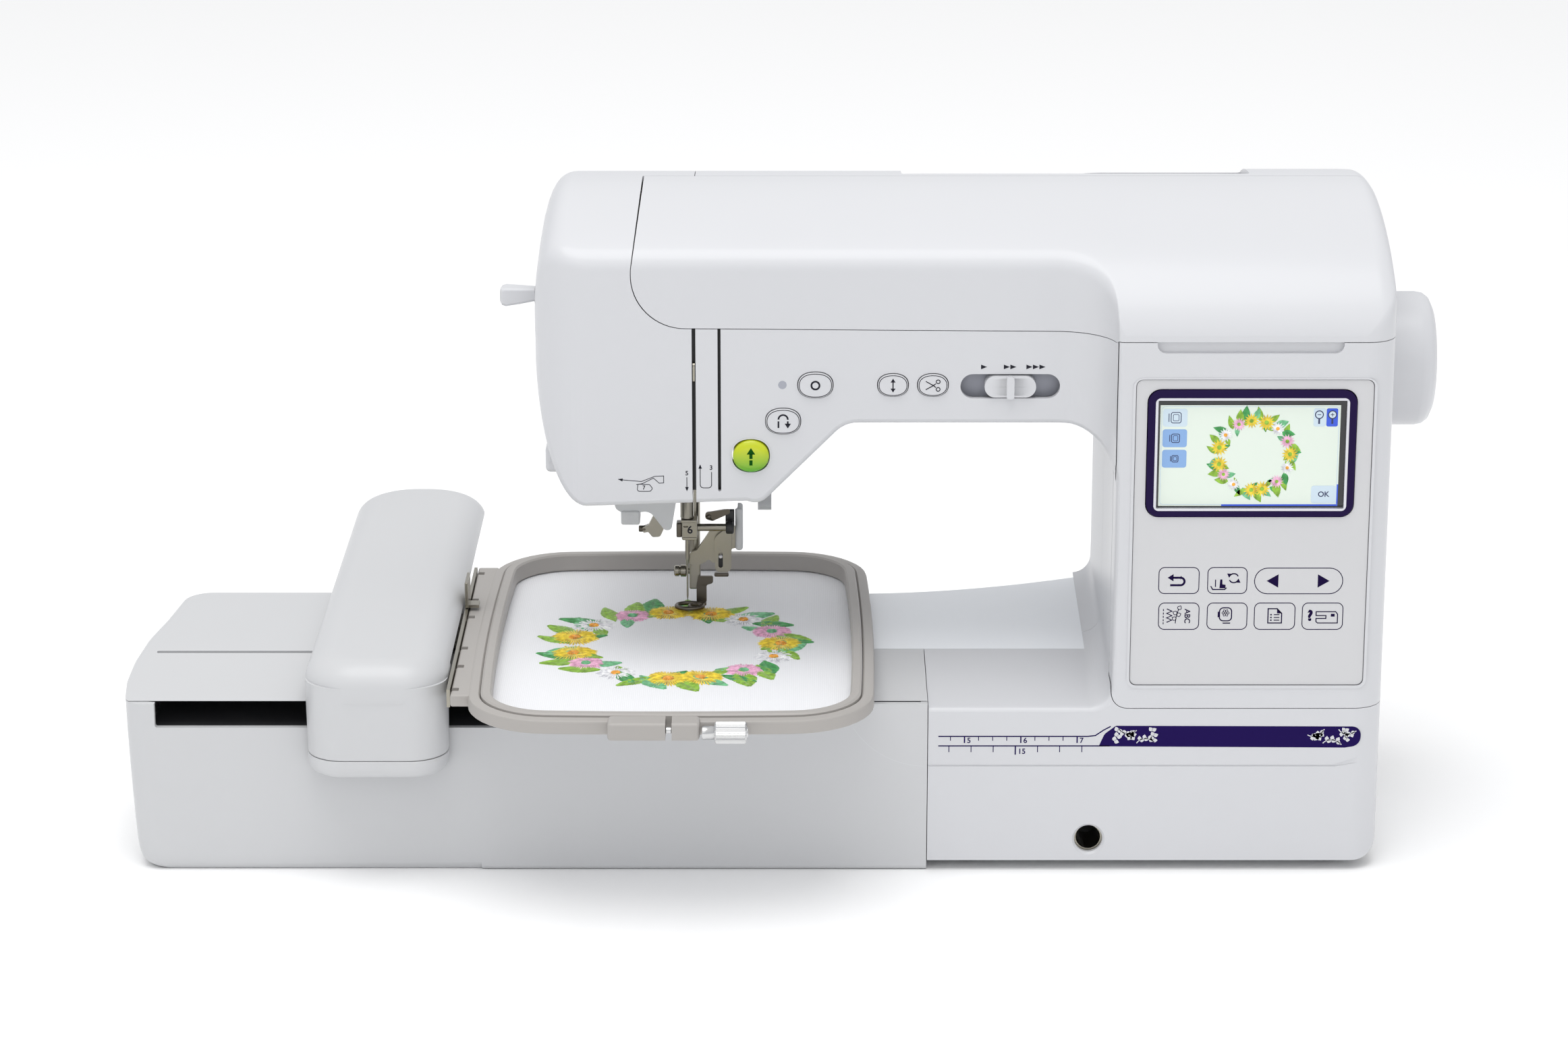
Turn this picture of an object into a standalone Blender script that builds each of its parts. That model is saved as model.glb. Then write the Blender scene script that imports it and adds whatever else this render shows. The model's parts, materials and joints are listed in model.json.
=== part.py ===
"""Embroidery machine: casings, sewing mechanism, controls, embroidery unit, carriage and hoop.

Lengths are written in millimetres in the machine's own frame (X to the right, Y to the rear from the
front of the base, Z up from the table) and scaled to metres when a mesh is made. ORIGIN moves the
middle of the footprint to the world's origin.
"""
import math

import bmesh
import bpy
from mathutils import Matrix, Vector

MM = 0.001
GAP = 0.3                      # clearance between neighbouring pieces
WALL = 3.0                     # casing wall

# Overall extents
UNIT_LEFT, WHEEL_END = -299.3, 301.0
SCREW_FRONT, CARRIAGE_REAR = -78.2, 272.0
TOP = 299.5
ORIGIN = Vector(((UNIT_LEFT + WHEEL_END) / 2, (SCREW_FRONT + CARRIAGE_REAR) / 2, 0.0))

# Casing
HEAD_LEFT, HEAD_CUT, TONGUE_LEFT = -112.0, -41.1, -39.4
ARM_FRONT, ARM_REAR, COLUMN_REAR = 25.0, 172.0, 182.0
ARM_UNDER, HEAD_UNDER = 203.4, 164.5
WALL_X, COLUMN_RIGHT = 150.0, 270.0
EDGE_X, FILLET = 147.0, 25.5
SEAM_X = 65.0                  # joint between the embroidery unit's leg and the base
BED, LIP, BED_FRONT = 85.0, 78.0, 62.7
CASE_BOTTOM = 4.6
LID_EDGE = 247.2
CROWN_Y, CROWN_HEIGHT, CROWN_POWER = 95.0, TOP - LID_EDGE, 1.75
REAR_SHOULDER, REAR_POWER = 250.0, 2.4
LID_REAR, HALF = 104.0, 88.0   # rear edge of the lid; joint between front and rear casings
PANEL_LEFT, PANEL_BOTTOM, PANEL_DEPTH = 147.3, 77.8, 18.0

# Control sheet, display and buttons on the front
SHEET = (155.3, 259.7, 88.8, 230.2)
BEZEL = (160.5, 252.5, 167.6, 225.7)
DISPLAY = (166.2, 247.1, 173.0, 219.4)
START_BUTTON = (-14.8, 188.7, 8.1, 7.3)
REVERSE_BUTTON = (-0.4, 204.7, 7.7, 5.8)
REINFORCEMENT_BUTTON = (14.0, 221.4, 7.7, 5.8)
NEEDLE_BUTTON = (48.6, 221.4, 6.7, 5.05)
CUTTER_BUTTON = (66.4, 221.4, 6.7, 5.05)
SPEED_SLOT = (100.9, 220.8, 22.2, 5.6)
SPEED_KNOB = (11.5, 4.9)

# Shafts and bars
WHEEL_Y, WHEEL_Z, WHEEL_R = 108.0, 212.4, 31.0
NEEDLE_X, NEEDLE_Y, NEEDLE_TIP = -45.6, 110.0, 92.5
PRESSER_X, PRESSER_Y = -42.5, 121.0
HOOK_Y = 91.0
THREADER_X, THREADER_Y, THREADER_Z = -112.0, 78.0, 249.0

# Embroidery unit, carriage and hoop
UNIT_RIGHT, UNIT_REAR, UNIT_TOP = -133.5, 152.0, 85.0
ARM_LEFT, ARM_BACK = -130.0, 147.0
CARRIAGE = (-215.0, -150.0, -22.0, 50.5, 104.5)
SLOT_Z = (68.4, 78.6)
HOOP_X, HOOP_Y, HOOP_HALF_X, HOOP_HALF_Y = -50.0, 59.5, 91.3, 126.5
WINDOW_X, WINDOW_Y = 79.0, 111.0
RING_Z = (88.6, 96.2)
FABRIC_Z = 87.5
KNEE_HOLE = (138.2, 14.8)
SCREW_R = 4.8
HANDLE_X, HANDLE_Y, HANDLE_Z = 134.0, 113.0, 295.2
HANDLE_TILT = math.radians(-11.0)

FINISHES = {
    "body_white": ((0.86, 0.87, 0.88), 0.32, 0.0),
    "unit_white": ((0.84, 0.85, 0.86), 0.35, 0.0),
    "panel_grey": ((0.68, 0.68, 0.70), 0.45, 0.0),
    "navy_trim": ((0.03, 0.01, 0.12), 0.30, 0.0),
    "display_glass": ((0.80, 0.90, 0.82), 0.10, 0.0),
    "start_green": ((0.45, 0.80, 0.05), 0.25, 0.0),
    "steel": ((0.55, 0.54, 0.50), 0.25, 1.0),
    "cast_alloy": ((0.50, 0.50, 0.50), 0.50, 1.0),
    "hoop_beige": ((0.55, 0.52, 0.48), 0.45, 0.0),
    "cloth_white": ((0.90, 0.90, 0.93), 0.90, 0.0),
    "black_plastic": ((0.02, 0.02, 0.02), 0.50, 0.0),
    "rubber_black": ((0.03, 0.03, 0.03), 0.80, 0.0),
    "light_grey": ((0.65, 0.66, 0.65), 0.40, 0.0),
    "board_green": ((0.02, 0.20, 0.07), 0.50, 0.0),
}

PARTS = bpy.data.collections.new("embroidery_machine")


# ---------------------------------------------------------------- mesh helpers

def finish_material(name):
    """One Principled material for each named finish."""
    material = bpy.data.materials.get(name)
    if material is None:
        colour, roughness, metallic = FINISHES[name]
        material = bpy.data.materials.new(name)
        material.use_nodes = True
        shader = material.node_tree.nodes["Principled BSDF"]
        shader.inputs["Base Color"].default_value = (*colour, 1.0)
        shader.inputs["Roughness"].default_value = roughness
        shader.inputs["Metallic"].default_value = metallic
    return material


def as_object(name, finish, bm, smooth=False):
    """Write a bmesh that is in machine millimetres to an object in world metres."""
    bmesh.ops.remove_doubles(bm, verts=bm.verts, dist=0.002)
    bmesh.ops.recalc_face_normals(bm, faces=bm.faces)
    place = Matrix.Diagonal((MM, MM, MM, 1.0)) @ Matrix.Translation(-ORIGIN)
    bmesh.ops.transform(bm, matrix=place, verts=bm.verts)
    mesh = bpy.data.meshes.new(name)
    bm.to_mesh(mesh)
    bm.free()
    if smooth:
        mesh.shade_smooth()
        mesh.set_sharp_from_angle(angle=math.radians(35.0))
    mesh.materials.append(finish_material(finish))
    obj = bpy.data.objects.new(name, mesh)
    PARTS.objects.link(obj)
    return obj


def evaluated_mesh(obj):
    depsgraph = bpy.context.evaluated_depsgraph_get()
    return bpy.data.meshes.new_from_object(obj.evaluated_get(depsgraph))


def apply_modifiers(obj):
    mesh = evaluated_mesh(obj)
    obj.modifiers.clear()
    obj.data = mesh


def combine(target, tool, operation):
    """Boolean of two closed solids; the tool is used up."""
    modifier = target.modifiers.new(operation, "BOOLEAN")
    modifier.object = tool
    modifier.operation = operation
    modifier.solver = "EXACT"
    apply_modifiers(target)
    bpy.data.objects.remove(tool)
    return target


def cut(target, *tools):
    for tool in tools:
        combine(target, tool, "DIFFERENCE")
    return target


def join(target, *tools):
    for tool in tools:
        combine(target, tool, "UNION")
    return target


def copy_of(obj, name):
    twin = bpy.data.objects.new(name, obj.data.copy())
    PARTS.objects.link(twin)
    return twin


def block(name, finish, x0, x1, y0, y1, z0, z1, bevel=0.0):
    bm = bmesh.new()
    bmesh.ops.create_cube(bm, size=1.0)
    size = Matrix.Diagonal((x1 - x0, y1 - y0, z1 - z0, 1.0))
    middle = Matrix.Translation(((x0 + x1) / 2, (y0 + y1) / 2, (z0 + z1) / 2))
    bmesh.ops.transform(bm, matrix=middle @ size, verts=bm.verts)
    if bevel:
        bmesh.ops.bevel(bm, geom=bm.edges, offset=bevel, segments=2, profile=0.5, affect="EDGES")
    return as_object(name, finish, bm)


AXIS_FRAMES = {                # columns: where the drawing's u, v and the depth w point
    "X": Matrix(((0, 0, 1, 0), (1, 0, 0, 0), (0, 1, 0, 0), (0, 0, 0, 1))),
    "Y": Matrix(((1, 0, 0, 0), (0, 0, 1, 0), (0, 1, 0, 0), (0, 0, 0, 1))),
    "Z": Matrix.Identity(4),
}


def prism(name, finish, axis, outline, low, high, holes=()):
    """A flat outline, with holes, extruded along an axis from low to high."""
    curve = bpy.data.curves.new(name, "CURVE")
    curve.dimensions = "2D"
    curve.fill_mode = "BOTH"
    curve.extrude = (high - low) / 2
    for loop in (outline, *holes):
        spline = curve.splines.new("POLY")
        spline.points.add(len(loop) - 1)
        spline.use_cyclic_u = True
        for point, (u, v) in zip(spline.points, loop):
            point.co = (u, v, 0.0, 1.0)
    guide = bpy.data.objects.new(name, curve)
    PARTS.objects.link(guide)
    mesh = evaluated_mesh(guide)
    bpy.data.objects.remove(guide)
    bm = bmesh.new()
    bm.from_mesh(mesh)
    lift = Matrix.Translation((0.0, 0.0, (low + high) / 2))
    bmesh.ops.transform(bm, matrix=AXIS_FRAMES[axis] @ lift, verts=bm.verts)
    return as_object(name, finish, bm)


def rod(name, finish, axis, centre, radius, low, high, sides=20, end_radius=None):
    """A round bar along an axis; centre gives its two cross coordinates."""
    bm = bmesh.new()
    end_radius = radius if end_radius is None else end_radius
    bmesh.ops.create_cone(bm, cap_ends=True, segments=sides, radius1=radius, radius2=end_radius,
                          depth=high - low)
    lift = Matrix.Translation((centre[0], centre[1], (low + high) / 2))
    bmesh.ops.transform(bm, matrix=AXIS_FRAMES[axis] @ lift, verts=bm.verts)
    return as_object(name, finish, bm, smooth=True)


def turned(name, finish, axis, centre, profile, steps=32):
    """A profile of (radius, height) points turned about an axis through centre."""
    bm = bmesh.new()
    ring = [bm.verts.new((radius, 0.0, height)) for radius, height in profile]
    for first, second in zip(ring, ring[1:]):
        bm.edges.new((first, second))
    if profile[0][0] > 0.0 and profile[-1][0] > 0.0:
        bm.edges.new((ring[-1], ring[0]))
    mesh = bpy.data.meshes.new(name)
    bm.to_mesh(mesh)
    bm.free()
    guide = bpy.data.objects.new(name, mesh)
    PARTS.objects.link(guide)
    screw = guide.modifiers.new("turn", "SCREW")
    screw.steps = screw.render_steps = steps
    screw.use_merge_vertices = True
    screw.merge_threshold = 0.0001
    turned_mesh = evaluated_mesh(guide)
    bpy.data.objects.remove(guide)
    bm = bmesh.new()
    bm.from_mesh(turned_mesh)
    lift = Matrix.Translation((centre[0], centre[1], 0.0))
    bmesh.ops.transform(bm, matrix=AXIS_FRAMES[axis] @ lift, verts=bm.verts)
    return as_object(name, finish, bm, smooth=True)


def loft(name, finish, rings):
    """A closed skin over rings of equally many points, capped at both ends."""
    bm = bmesh.new()
    rows = [[bm.verts.new(point) for point in ring] for ring in rings]
    count = len(rows[0])
    for row, following in zip(rows, rows[1:]):
        for i in range(count):
            j = (i + 1) % count
            bm.faces.new((row[i], row[j], following[j], following[i]))
    bm.faces.new(rows[0])
    bm.faces.new(list(reversed(rows[-1])))
    return as_object(name, finish, bm)


# ---------------------------------------------------------------- outlines

def rounded(corners, steps=4):
    """Outline from (u, v, radius) corners, each corner turned into an arc."""
    points = []
    count = len(corners)
    for i, (u, v, radius) in enumerate(corners):
        here = Vector((u, v))
        if radius <= 0.0:
            points.append((u, v))
            continue
        back = (Vector(corners[i - 1][:2]) - here).normalized()
        ahead = (Vector(corners[(i + 1) % count][:2]) - here).normalized()
        half = back.angle(ahead) / 2
        centre = here + (back + ahead).normalized() * (radius / math.sin(half))
        start = here + back * (radius / math.tan(half)) - centre
        turn = start.angle_signed(here + ahead * (radius / math.tan(half)) - centre)
        for k in range(steps + 1):
            angle = -turn * k / steps
            c, s = math.cos(angle), math.sin(angle)
            points.append((centre.x + start.x * c - start.y * s, centre.y + start.x * s + start.y * c))
    return points


def rectangle(x0, x1, y0, y1, radius=0.0, steps=3):
    return rounded([(x0, y0, radius), (x1, y0, radius), (x1, y1, radius), (x0, y1, radius)], steps)


def oval(u, v, half_u, half_v, points=20, power=2.3):
    """A slightly squared oval."""
    loop = []
    for k in range(points):
        angle = 2 * math.pi * k / points
        c, s = math.cos(angle), math.sin(angle)
        loop.append((u + half_u * math.copysign(abs(c) ** (2 / power), c),
                     v + half_v * math.copysign(abs(s) ** (2 / power), s)))
    return loop


# ---------------------------------------------------------------- casing surfaces

def ease(t):
    t = min(max(t, 0.0), 1.0)
    return t * t * (3 - 2 * t)


def arc_drop(t):
    """How far a quarter circle falls away, from 0 at t=0 to 1 at t=1."""
    t = min(max(t, 0.0), 1.0)
    return 1.0 - math.sqrt(1.0 - t * t)


def casing_front(x, inset=0.0):
    """Front face of the arm, the hollow fillet that brings it out to the column, and the ends."""
    y = ARM_FRONT * (1 - arc_drop((x - EDGE_X + FILLET) / (FILLET + inset)))
    y += 24.0 * arc_drop((HEAD_LEFT + 24.0 - x) / 24.0)
    return y + 14.0 * arc_drop((x - COLUMN_RIGHT + 14.0) / 14.0) + inset


def casing_rear(x):
    y = ARM_REAR + (COLUMN_REAR - ARM_REAR) * ease((x - 110.0) / (WALL_X - 110.0))
    y -= 20.0 * arc_drop((HEAD_LEFT + 20.0 - x) / 20.0)
    return y - 14.0 * arc_drop((x - COLUMN_RIGHT + 14.0) / 14.0)


SHOULDER = 240.0


def end_scale(x):
    """How much of the crown's height is left near the two ends."""
    if x < -94.0:
        return (1 - min((-94.0 - x) / 18.0, 0.994) ** 2.9) ** (1 / 2.9)
    return 1 - (10.0 / (TOP - SHOULDER)) * arc_drop((x - COLUMN_RIGHT + 8.0) / 8.0)


def casing_ring(x, bottom, inset, crown_steps=5):
    """Cross-section of the arm or column at x, drawn in by inset."""
    front, rear = casing_front(x, inset), casing_rear(x) - inset
    half_front, height = CROWN_Y - inset, CROWN_HEIGHT - inset
    half_rear, rear_height = rear - CROWN_Y, TOP - inset - REAR_SHOULDER
    points = [(rear, bottom), (front, bottom)]
    start = math.acos(min((CROWN_Y - front) / half_front, 1.0) ** (CROWN_POWER / 2))
    for k in range(crown_steps + 1):
        angle = start + (math.pi / 2 - start) * k / crown_steps
        y = CROWN_Y - half_front * abs(math.cos(angle)) ** (2 / CROWN_POWER)
        points.append((y, LID_EDGE + height * math.sin(angle) ** (2 / CROWN_POWER)))
    for k in range(1, crown_steps + 1):
        angle = math.pi / 2 * (1 - k / crown_steps)
        y = CROWN_Y + half_rear * math.cos(angle) ** (2 / REAR_POWER)
        points.append((y, REAR_SHOULDER + rear_height * math.sin(angle) ** (2 / REAR_POWER)))
    scale = end_scale(x)
    return [(x, y, z if z < SHOULDER else SHOULDER + (z - SHOULDER) * scale) for y, z in points]


CASING_STATIONS = (-108.0, -103.0, -97.0, -90.0, -60.0, 110.0, 121.5, 129.0, 135.5, 141.0, 145.0, 147.0)
COLUMN_STATIONS = (256.0, 261.0, 265.0, 268.0)


def casing_block(inset, crown_steps=5):
    """The arm's and the column's full block, before the throat is taken out."""
    left, right, step = HEAD_LEFT + 0.1 + inset, COLUMN_RIGHT - inset, WALL_X + 0.3 + inset
    rings = [casing_ring(left, 120.0, inset, crown_steps)]
    rings += [casing_ring(x, 120.0, inset, crown_steps) for x in CASING_STATIONS if x > left]
    rings += [casing_ring(step, 120.0, inset, crown_steps)]
    floor = CASE_BOTTOM if inset == 0.0 else CASE_BOTTOM - 5.0
    rings += [casing_ring(step + 0.1, floor, inset, crown_steps)]
    rings += [casing_ring(x, floor, inset, crown_steps) for x in COLUMN_STATIONS if x < right - 0.5]
    rings += [casing_ring(right, floor, inset, crown_steps)]
    return loft("casing", "body_white", rings)


def throat_outline(grow):
    """Everything under the arm in front view: left of the head, below it, and the throat."""
    corners = [(-170.0, SHOULDER, 0.0), (-170.0, BED - grow, 0.0), (WALL_X + grow, BED - grow, 10.0 + grow),
               (WALL_X + grow, ARM_UNDER + grow, 22.0 + grow), (27.4 - 0.4 * grow, ARM_UNDER + grow, 12.0),
               (-11.5 - 0.4 * grow, HEAD_UNDER + grow, 6.0)]
    points = rounded(corners)
    for k in range(7):
        angle = math.pi / 2 * (1 - k / 6)
        points.append((-89.0 - (23.3 - grow) * math.cos(angle), SHOULDER - (SHOULDER - HEAD_UNDER - grow)
                       * math.sin(angle)))
    return points


def lid_outline(grow):
    """The lid in front view: lower edge, rounded lower left corner and leaning left edge."""
    return rounded([(300.0, LID_EDGE - grow, 0.0), (-68.5 - grow, LID_EDGE - grow, 24.0),
                    (-68.0 - grow, 274.0, 0.0), (-61.5 - 3 * grow, 320.0, 0.0), (300.0, 320.0, 0.0)], 6)


def casing_solid(inset):
    """Arm, head, column and base front as one solid; inset gives the hollow inside the walls."""
    solid = casing_block(inset)
    low = CASE_BOTTOM if inset == 0.0 else CASE_BOTTOM - 5.0
    lip = [(inset, low), (BED_FRONT - inset, low), (BED_FRONT - inset, BED - inset), (4.0, LIP - inset),
           (1.2 + inset, LIP - 1.2 - inset), (inset, LIP - 4.0 - inset)]
    join(solid, prism("lip", "body_white", "X", lip, SEAM_X + inset, WALL_X + 1.0 + inset))
    if inset == 0.0:
        root = [(0.6, BED - 4.0), (COLUMN_REAR - 1.0, BED - 4.0), (COLUMN_REAR - 1.0, 112.0), (0.6, 112.0)]
        block_root = prism("root", "body_white", "X", root, 139.0, WALL_X + 1.0)
        cut(block_root, block("bed_space", "body_white", 100.0, WALL_X, BED_FRONT, 200.0, 60.0, BED + GAP))
        join(solid, block_root)
    cut(solid, prism("throat", "body_white", "Y", throat_outline(inset), -30.0, 230.0))
    return solid


def thread_slot():
    """Right-hand thread slot, which runs up to the lid's lower edge."""
    slot = rounded([(-29.6, 172.0, 0.7), (-28.2, 172.0, 0.6), (-28.2, 260.0, 0.0), (-29.6, 260.0, 0.0)], 2)
    return prism("thread_slot", "body_white", "Y", slot, 10.0, 60.0)


def head_opening():
    """Opening in the underside of the head for the bars, the lamp and the threader."""
    return prism("head_opening", "body_white", "Z", rectangle(-86.0, -14.5, 86.0, 150.0, 5.0), 150.0, 176.0)


# ---------------------------------------------------------------- casings

def make_casings():
    outer, inner = casing_solid(0.0), casing_solid(WALL)
    cut(inner, handle_slab("pocket_wall", 3.6, 20.0))
    cut(outer, inner, handle_slab("pocket", 0.6, 20.0))
    cut(outer, head_opening())
    cut(outer, block("lever_slot", "body_white", -14.0, -4.4, 124.0, 162.0, 150.0, 183.0))
    cut(outer, block("passage", "body_white", 149.0, 155.0, 59.0, 178.6, -1.0, 80.0),
        block("pan_gap", "body_white", 68.2, 152.0, 58.0, 64.0, -1.0, 7.0))
    lid = copy_of(outer, "top_cover")
    combine(lid, prism("r", "body_white", "Y", lid_outline(-GAP / 2), -30.0, LID_REAR), "INTERSECT")
    cut(outer, prism("r", "body_white", "Y", lid_outline(GAP / 2), -30.0, LID_REAR + GAP), thread_slot())

    face = copy_of(outer, "face_cover")
    cut(face, block("r", "body_white", HEAD_CUT, 400.0, -50.0, 300.0, -10.0, 400.0))
    lever_slot = rectangle(THREADER_Y - 3.4, THREADER_Y + 3.4, 196.0, 256.0, 3.0)
    lever_slot = prism("r", "body_white", "X", lever_slot, -120.0, -104.0)
    cut(face, lever_slot)
    cutter_bump = block("r", "body_white", -109.0, -99.6, 60.0, 80.0, 170.5, 183.0, 1.5)
    join(face, cutter_bump)

    panel = copy_of(outer, "panel_cover")
    region = rounded([(PANEL_LEFT, PANEL_BOTTOM, 7.0), (300.0, PANEL_BOTTOM, 0.0), (300.0, 260.0, 0.0),
                      (PANEL_LEFT, 260.0, 0.0)], 3)
    combine(panel, prism("r", "body_white", "Y", region, -30.0, PANEL_DEPTH), "INTERSECT")
    grown = rounded([(PANEL_LEFT - GAP, PANEL_BOTTOM - GAP, 7.0 + GAP), (300.0, PANEL_BOTTOM - GAP, 0.0),
                     (300.0, 260.0, 0.0), (PANEL_LEFT - GAP, 260.0, 0.0)], 3)
    cut(outer, prism("r", "body_white", "Y", grown, -30.0, PANEL_DEPTH + GAP))
    for (x0, x1, z0, z1), radius, deep in ((SHEET, 3.0, 1.6), (BEZEL, 6.0, 9.0)):
        hole = rectangle(x0 - GAP, x1 + GAP, z0 - GAP, z1 + GAP, radius)
        cut(panel, prism("r", "body_white", "Y", hole, -5.0, deep))
    cut(panel, block("r", "body_white", 164.0, 246.0, -2.0, 1.2, 242.2, 252.0))

    front = copy_of(outer, "front_housing")
    cut(front, block("r", "body_white", -200.0, TONGUE_LEFT, -50.0, 300.0, -10.0, 400.0))
    cut(front, block("r", "body_white", -200.0, 400.0, HALF, 300.0, -10.0, 400.0))
    for u, v, half_u, half_v in (START_BUTTON, REVERSE_BUTTON, REINFORCEMENT_BUTTON, NEEDLE_BUTTON,
                                 CUTTER_BUTTON):
        cut(front, prism("r", "body_white", "Y", oval(u, v, half_u + 0.35, half_v + 0.35), 5.0, 50.0))
    u, v, half_u, half_v = SPEED_SLOT
    slot = rectangle(u - half_u, u + half_u, v - half_v, v + half_v, 5.5)
    cut(front, prism("r", "body_white", "Y", slot, 5.0, 50.0))
    cut(front, rod("r", "body_white", "Y", KNEE_HOLE, 6.4, -5.0, 10.0))

    rear = outer
    rear.name = "rear_housing"
    cut(rear, block("r", "body_white", -200.0, HEAD_CUT + GAP, -50.0, 300.0, -10.0, 400.0))
    cut(rear, block("r", "body_white", -200.0, 400.0, -50.0, HALF + GAP, -10.0, 400.0))
    cut(rear, rod("r", "body_white", "X", (WHEEL_Y, WHEEL_Z), 9.0, 255.0, 290.0))
    cut(rear, block("r", "body_white", 262.0, 280.0, 118.0, 168.0, 24.0, 52.0))
    return lid


def free_arm_outline(grow=0.0):
    """Free arm in plan, with its rear edge flaring out towards the column."""
    left, right, front = ARM_LEFT - grow, WALL_X - GAP + grow, BED_FRONT + GAP - grow
    points = rounded([(left, front, 5.0), (right, front, 0.0), (right, 177.0 + grow, 0.0)], 3)
    for k in range(7):
        x = 146.0 - 18.0 * k
        points.append((x, ARM_BACK + 28.5 * ((x - 38.0) / 108.0) ** 1.8 + grow))
    return points + rounded([(-60.0, ARM_BACK + grow, 0.0), (ARM_LEFT - grow, ARM_BACK + grow, 12.0),
                             (ARM_LEFT - grow, 110.0, 0.0)], 4)[:-1]


def make_bed():
    cover = prism("free_arm_cover", "body_white", "Z", free_arm_outline(), 14.0, BED)
    cut(cover, prism("r", "body_white", "Z", free_arm_outline(-WALL), 8.0, BED - WALL))
    cut(cover, prism("r", "body_white", "Z", rectangle(-84.3, -9.7, 70.7, 139.3, 3.3), 70.0, 95.0))
    cut(cover, block("r", "body_white", 144.0, 155.0, 66.5, 172.0, 5.0, 80.0))
    plate = prism("needle_plate", "steel", "Z", rectangle(-84.0, -10.0, 71.0, 139.0, 3.0), 82.6, 85.3,
                  holes=[rectangle(-70.3, -27.7, 73.7, 102.3, 2.0), oval(NEEDLE_X, NEEDLE_Y, 4.0, 1.2, 12),
                         rectangle(-58.0, -54.5, 104.0, 126.0), rectangle(-37.0, -33.5, 104.0, 126.0),
                         rectangle(-51.5, -48.0, 112.5, 126.0)])
    window = rectangle(-70.0, -28.0, 74.0, 102.0, 1.7)
    window = prism("bobbin_cover", "display_glass", "Z", window, 83.0, 85.0)
    base_outline = [(ARM_LEFT + WALL + 0.6, 66.8), (SEAM_X + WALL + 0.5, 66.8), (SEAM_X + WALL + 0.5, 3.6),
                    (255.0, 3.6), (266.4, 15.0), (266.4, 167.0), (255.0, 178.4), (153.7, 178.4),
                    (146.0, 170.0), (100.0, 151.0), (38.0, 143.4), (-115.0, 143.4),
                    (ARM_LEFT + WALL + 0.6, 130.0)]
    pan = prism("base_pan", "light_grey", "Z", base_outline, 4.9, 6.4)
    return cover, plate, window, pan


def make_feet():
    for name, x, y in (("foot_front_left", 84.0, 20.0), ("foot_front_right", 250.0, 20.0),
                       ("foot_rear_left", -106.0, 120.0), ("foot_rear_right", 250.0, 160.0)):
        profile = [(0.0, 4.6), (9.0, 4.6), (9.0, 1.2), (7.8, 0.0), (0.0, 0.0)]
        turned(name, "rubber_black", "Z", (x, y), profile, 20)


# ---------------------------------------------------------------- front controls

def make_panel():
    x0, x1, z0, z1 = SHEET
    bx0, bx1, bz0, bz1 = BEZEL
    window = rectangle(bx0 - GAP, bx1 + GAP, bz0 - GAP, bz1 + GAP, 6.0)
    prism("control_sheet", "panel_grey", "Y", rectangle(x0, x1, z0, z1, 3.0), 0.4, 1.3, holes=[window])
    dx0, dx1, dz0, dz1 = DISPLAY
    prism("lcd_bezel", "navy_trim", "Y", rectangle(bx0, bx1, bz0, bz1, 6.0), -0.5, 4.0,
          holes=[rectangle(dx0, dx1, dz0, dz1, 0.6)])
    block("lcd_screen", "display_glass", bx0 + 1.0, bx1 - 1.0, 4.3, 7.0, bz0 + 1.0, bz1 - 1.0)
    block("circuit_board", "board_green", 158.0, 262.0, 26.0, 28.0, 96.0, 236.0)


def make_buttons():
    names = (("start_stop_button", "start_green", START_BUTTON, 22.4),
             ("reverse_button", "body_white", REVERSE_BUTTON, 23.9),
             ("reinforcement_button", "body_white", REINFORCEMENT_BUTTON, 23.9),
             ("needle_position_button", "body_white", NEEDLE_BUTTON, 23.9),
             ("thread_cutter_button", "body_white", CUTTER_BUTTON, 23.9))
    for name, finish, (u, v, half_u, half_v), face in names:
        rings = []
        for y, scale in ((face, 0.55), (face + 0.5, 0.88), (face + 1.3, 1.0), (33.0, 1.0)):
            rings.append([(a, y, b) for a, b in oval(u, v, half_u * scale, half_v * scale)])
        button = loft(name, finish, rings)
        hang(name, [button], u, face, v)
    u, v = SPEED_SLOT[:2]
    half_u, half_v = SPEED_KNOB
    cap = rectangle(u - half_u, u + half_u, v - half_v, v + half_v, 4.6)
    ridge = rectangle(u - 1.8, u + 1.8, v - half_v, v + half_v, 1.2)
    knob = prism("speed_knob", "body_white", "Y", cap, 23.4, 31.0)
    join(knob, prism("r", "body_white", "Y", ridge, 21.0, 25.0))
    hang("speed_knob", [knob], u, ARM_FRONT, v)


# ---------------------------------------------------------------- inside the casing

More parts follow.
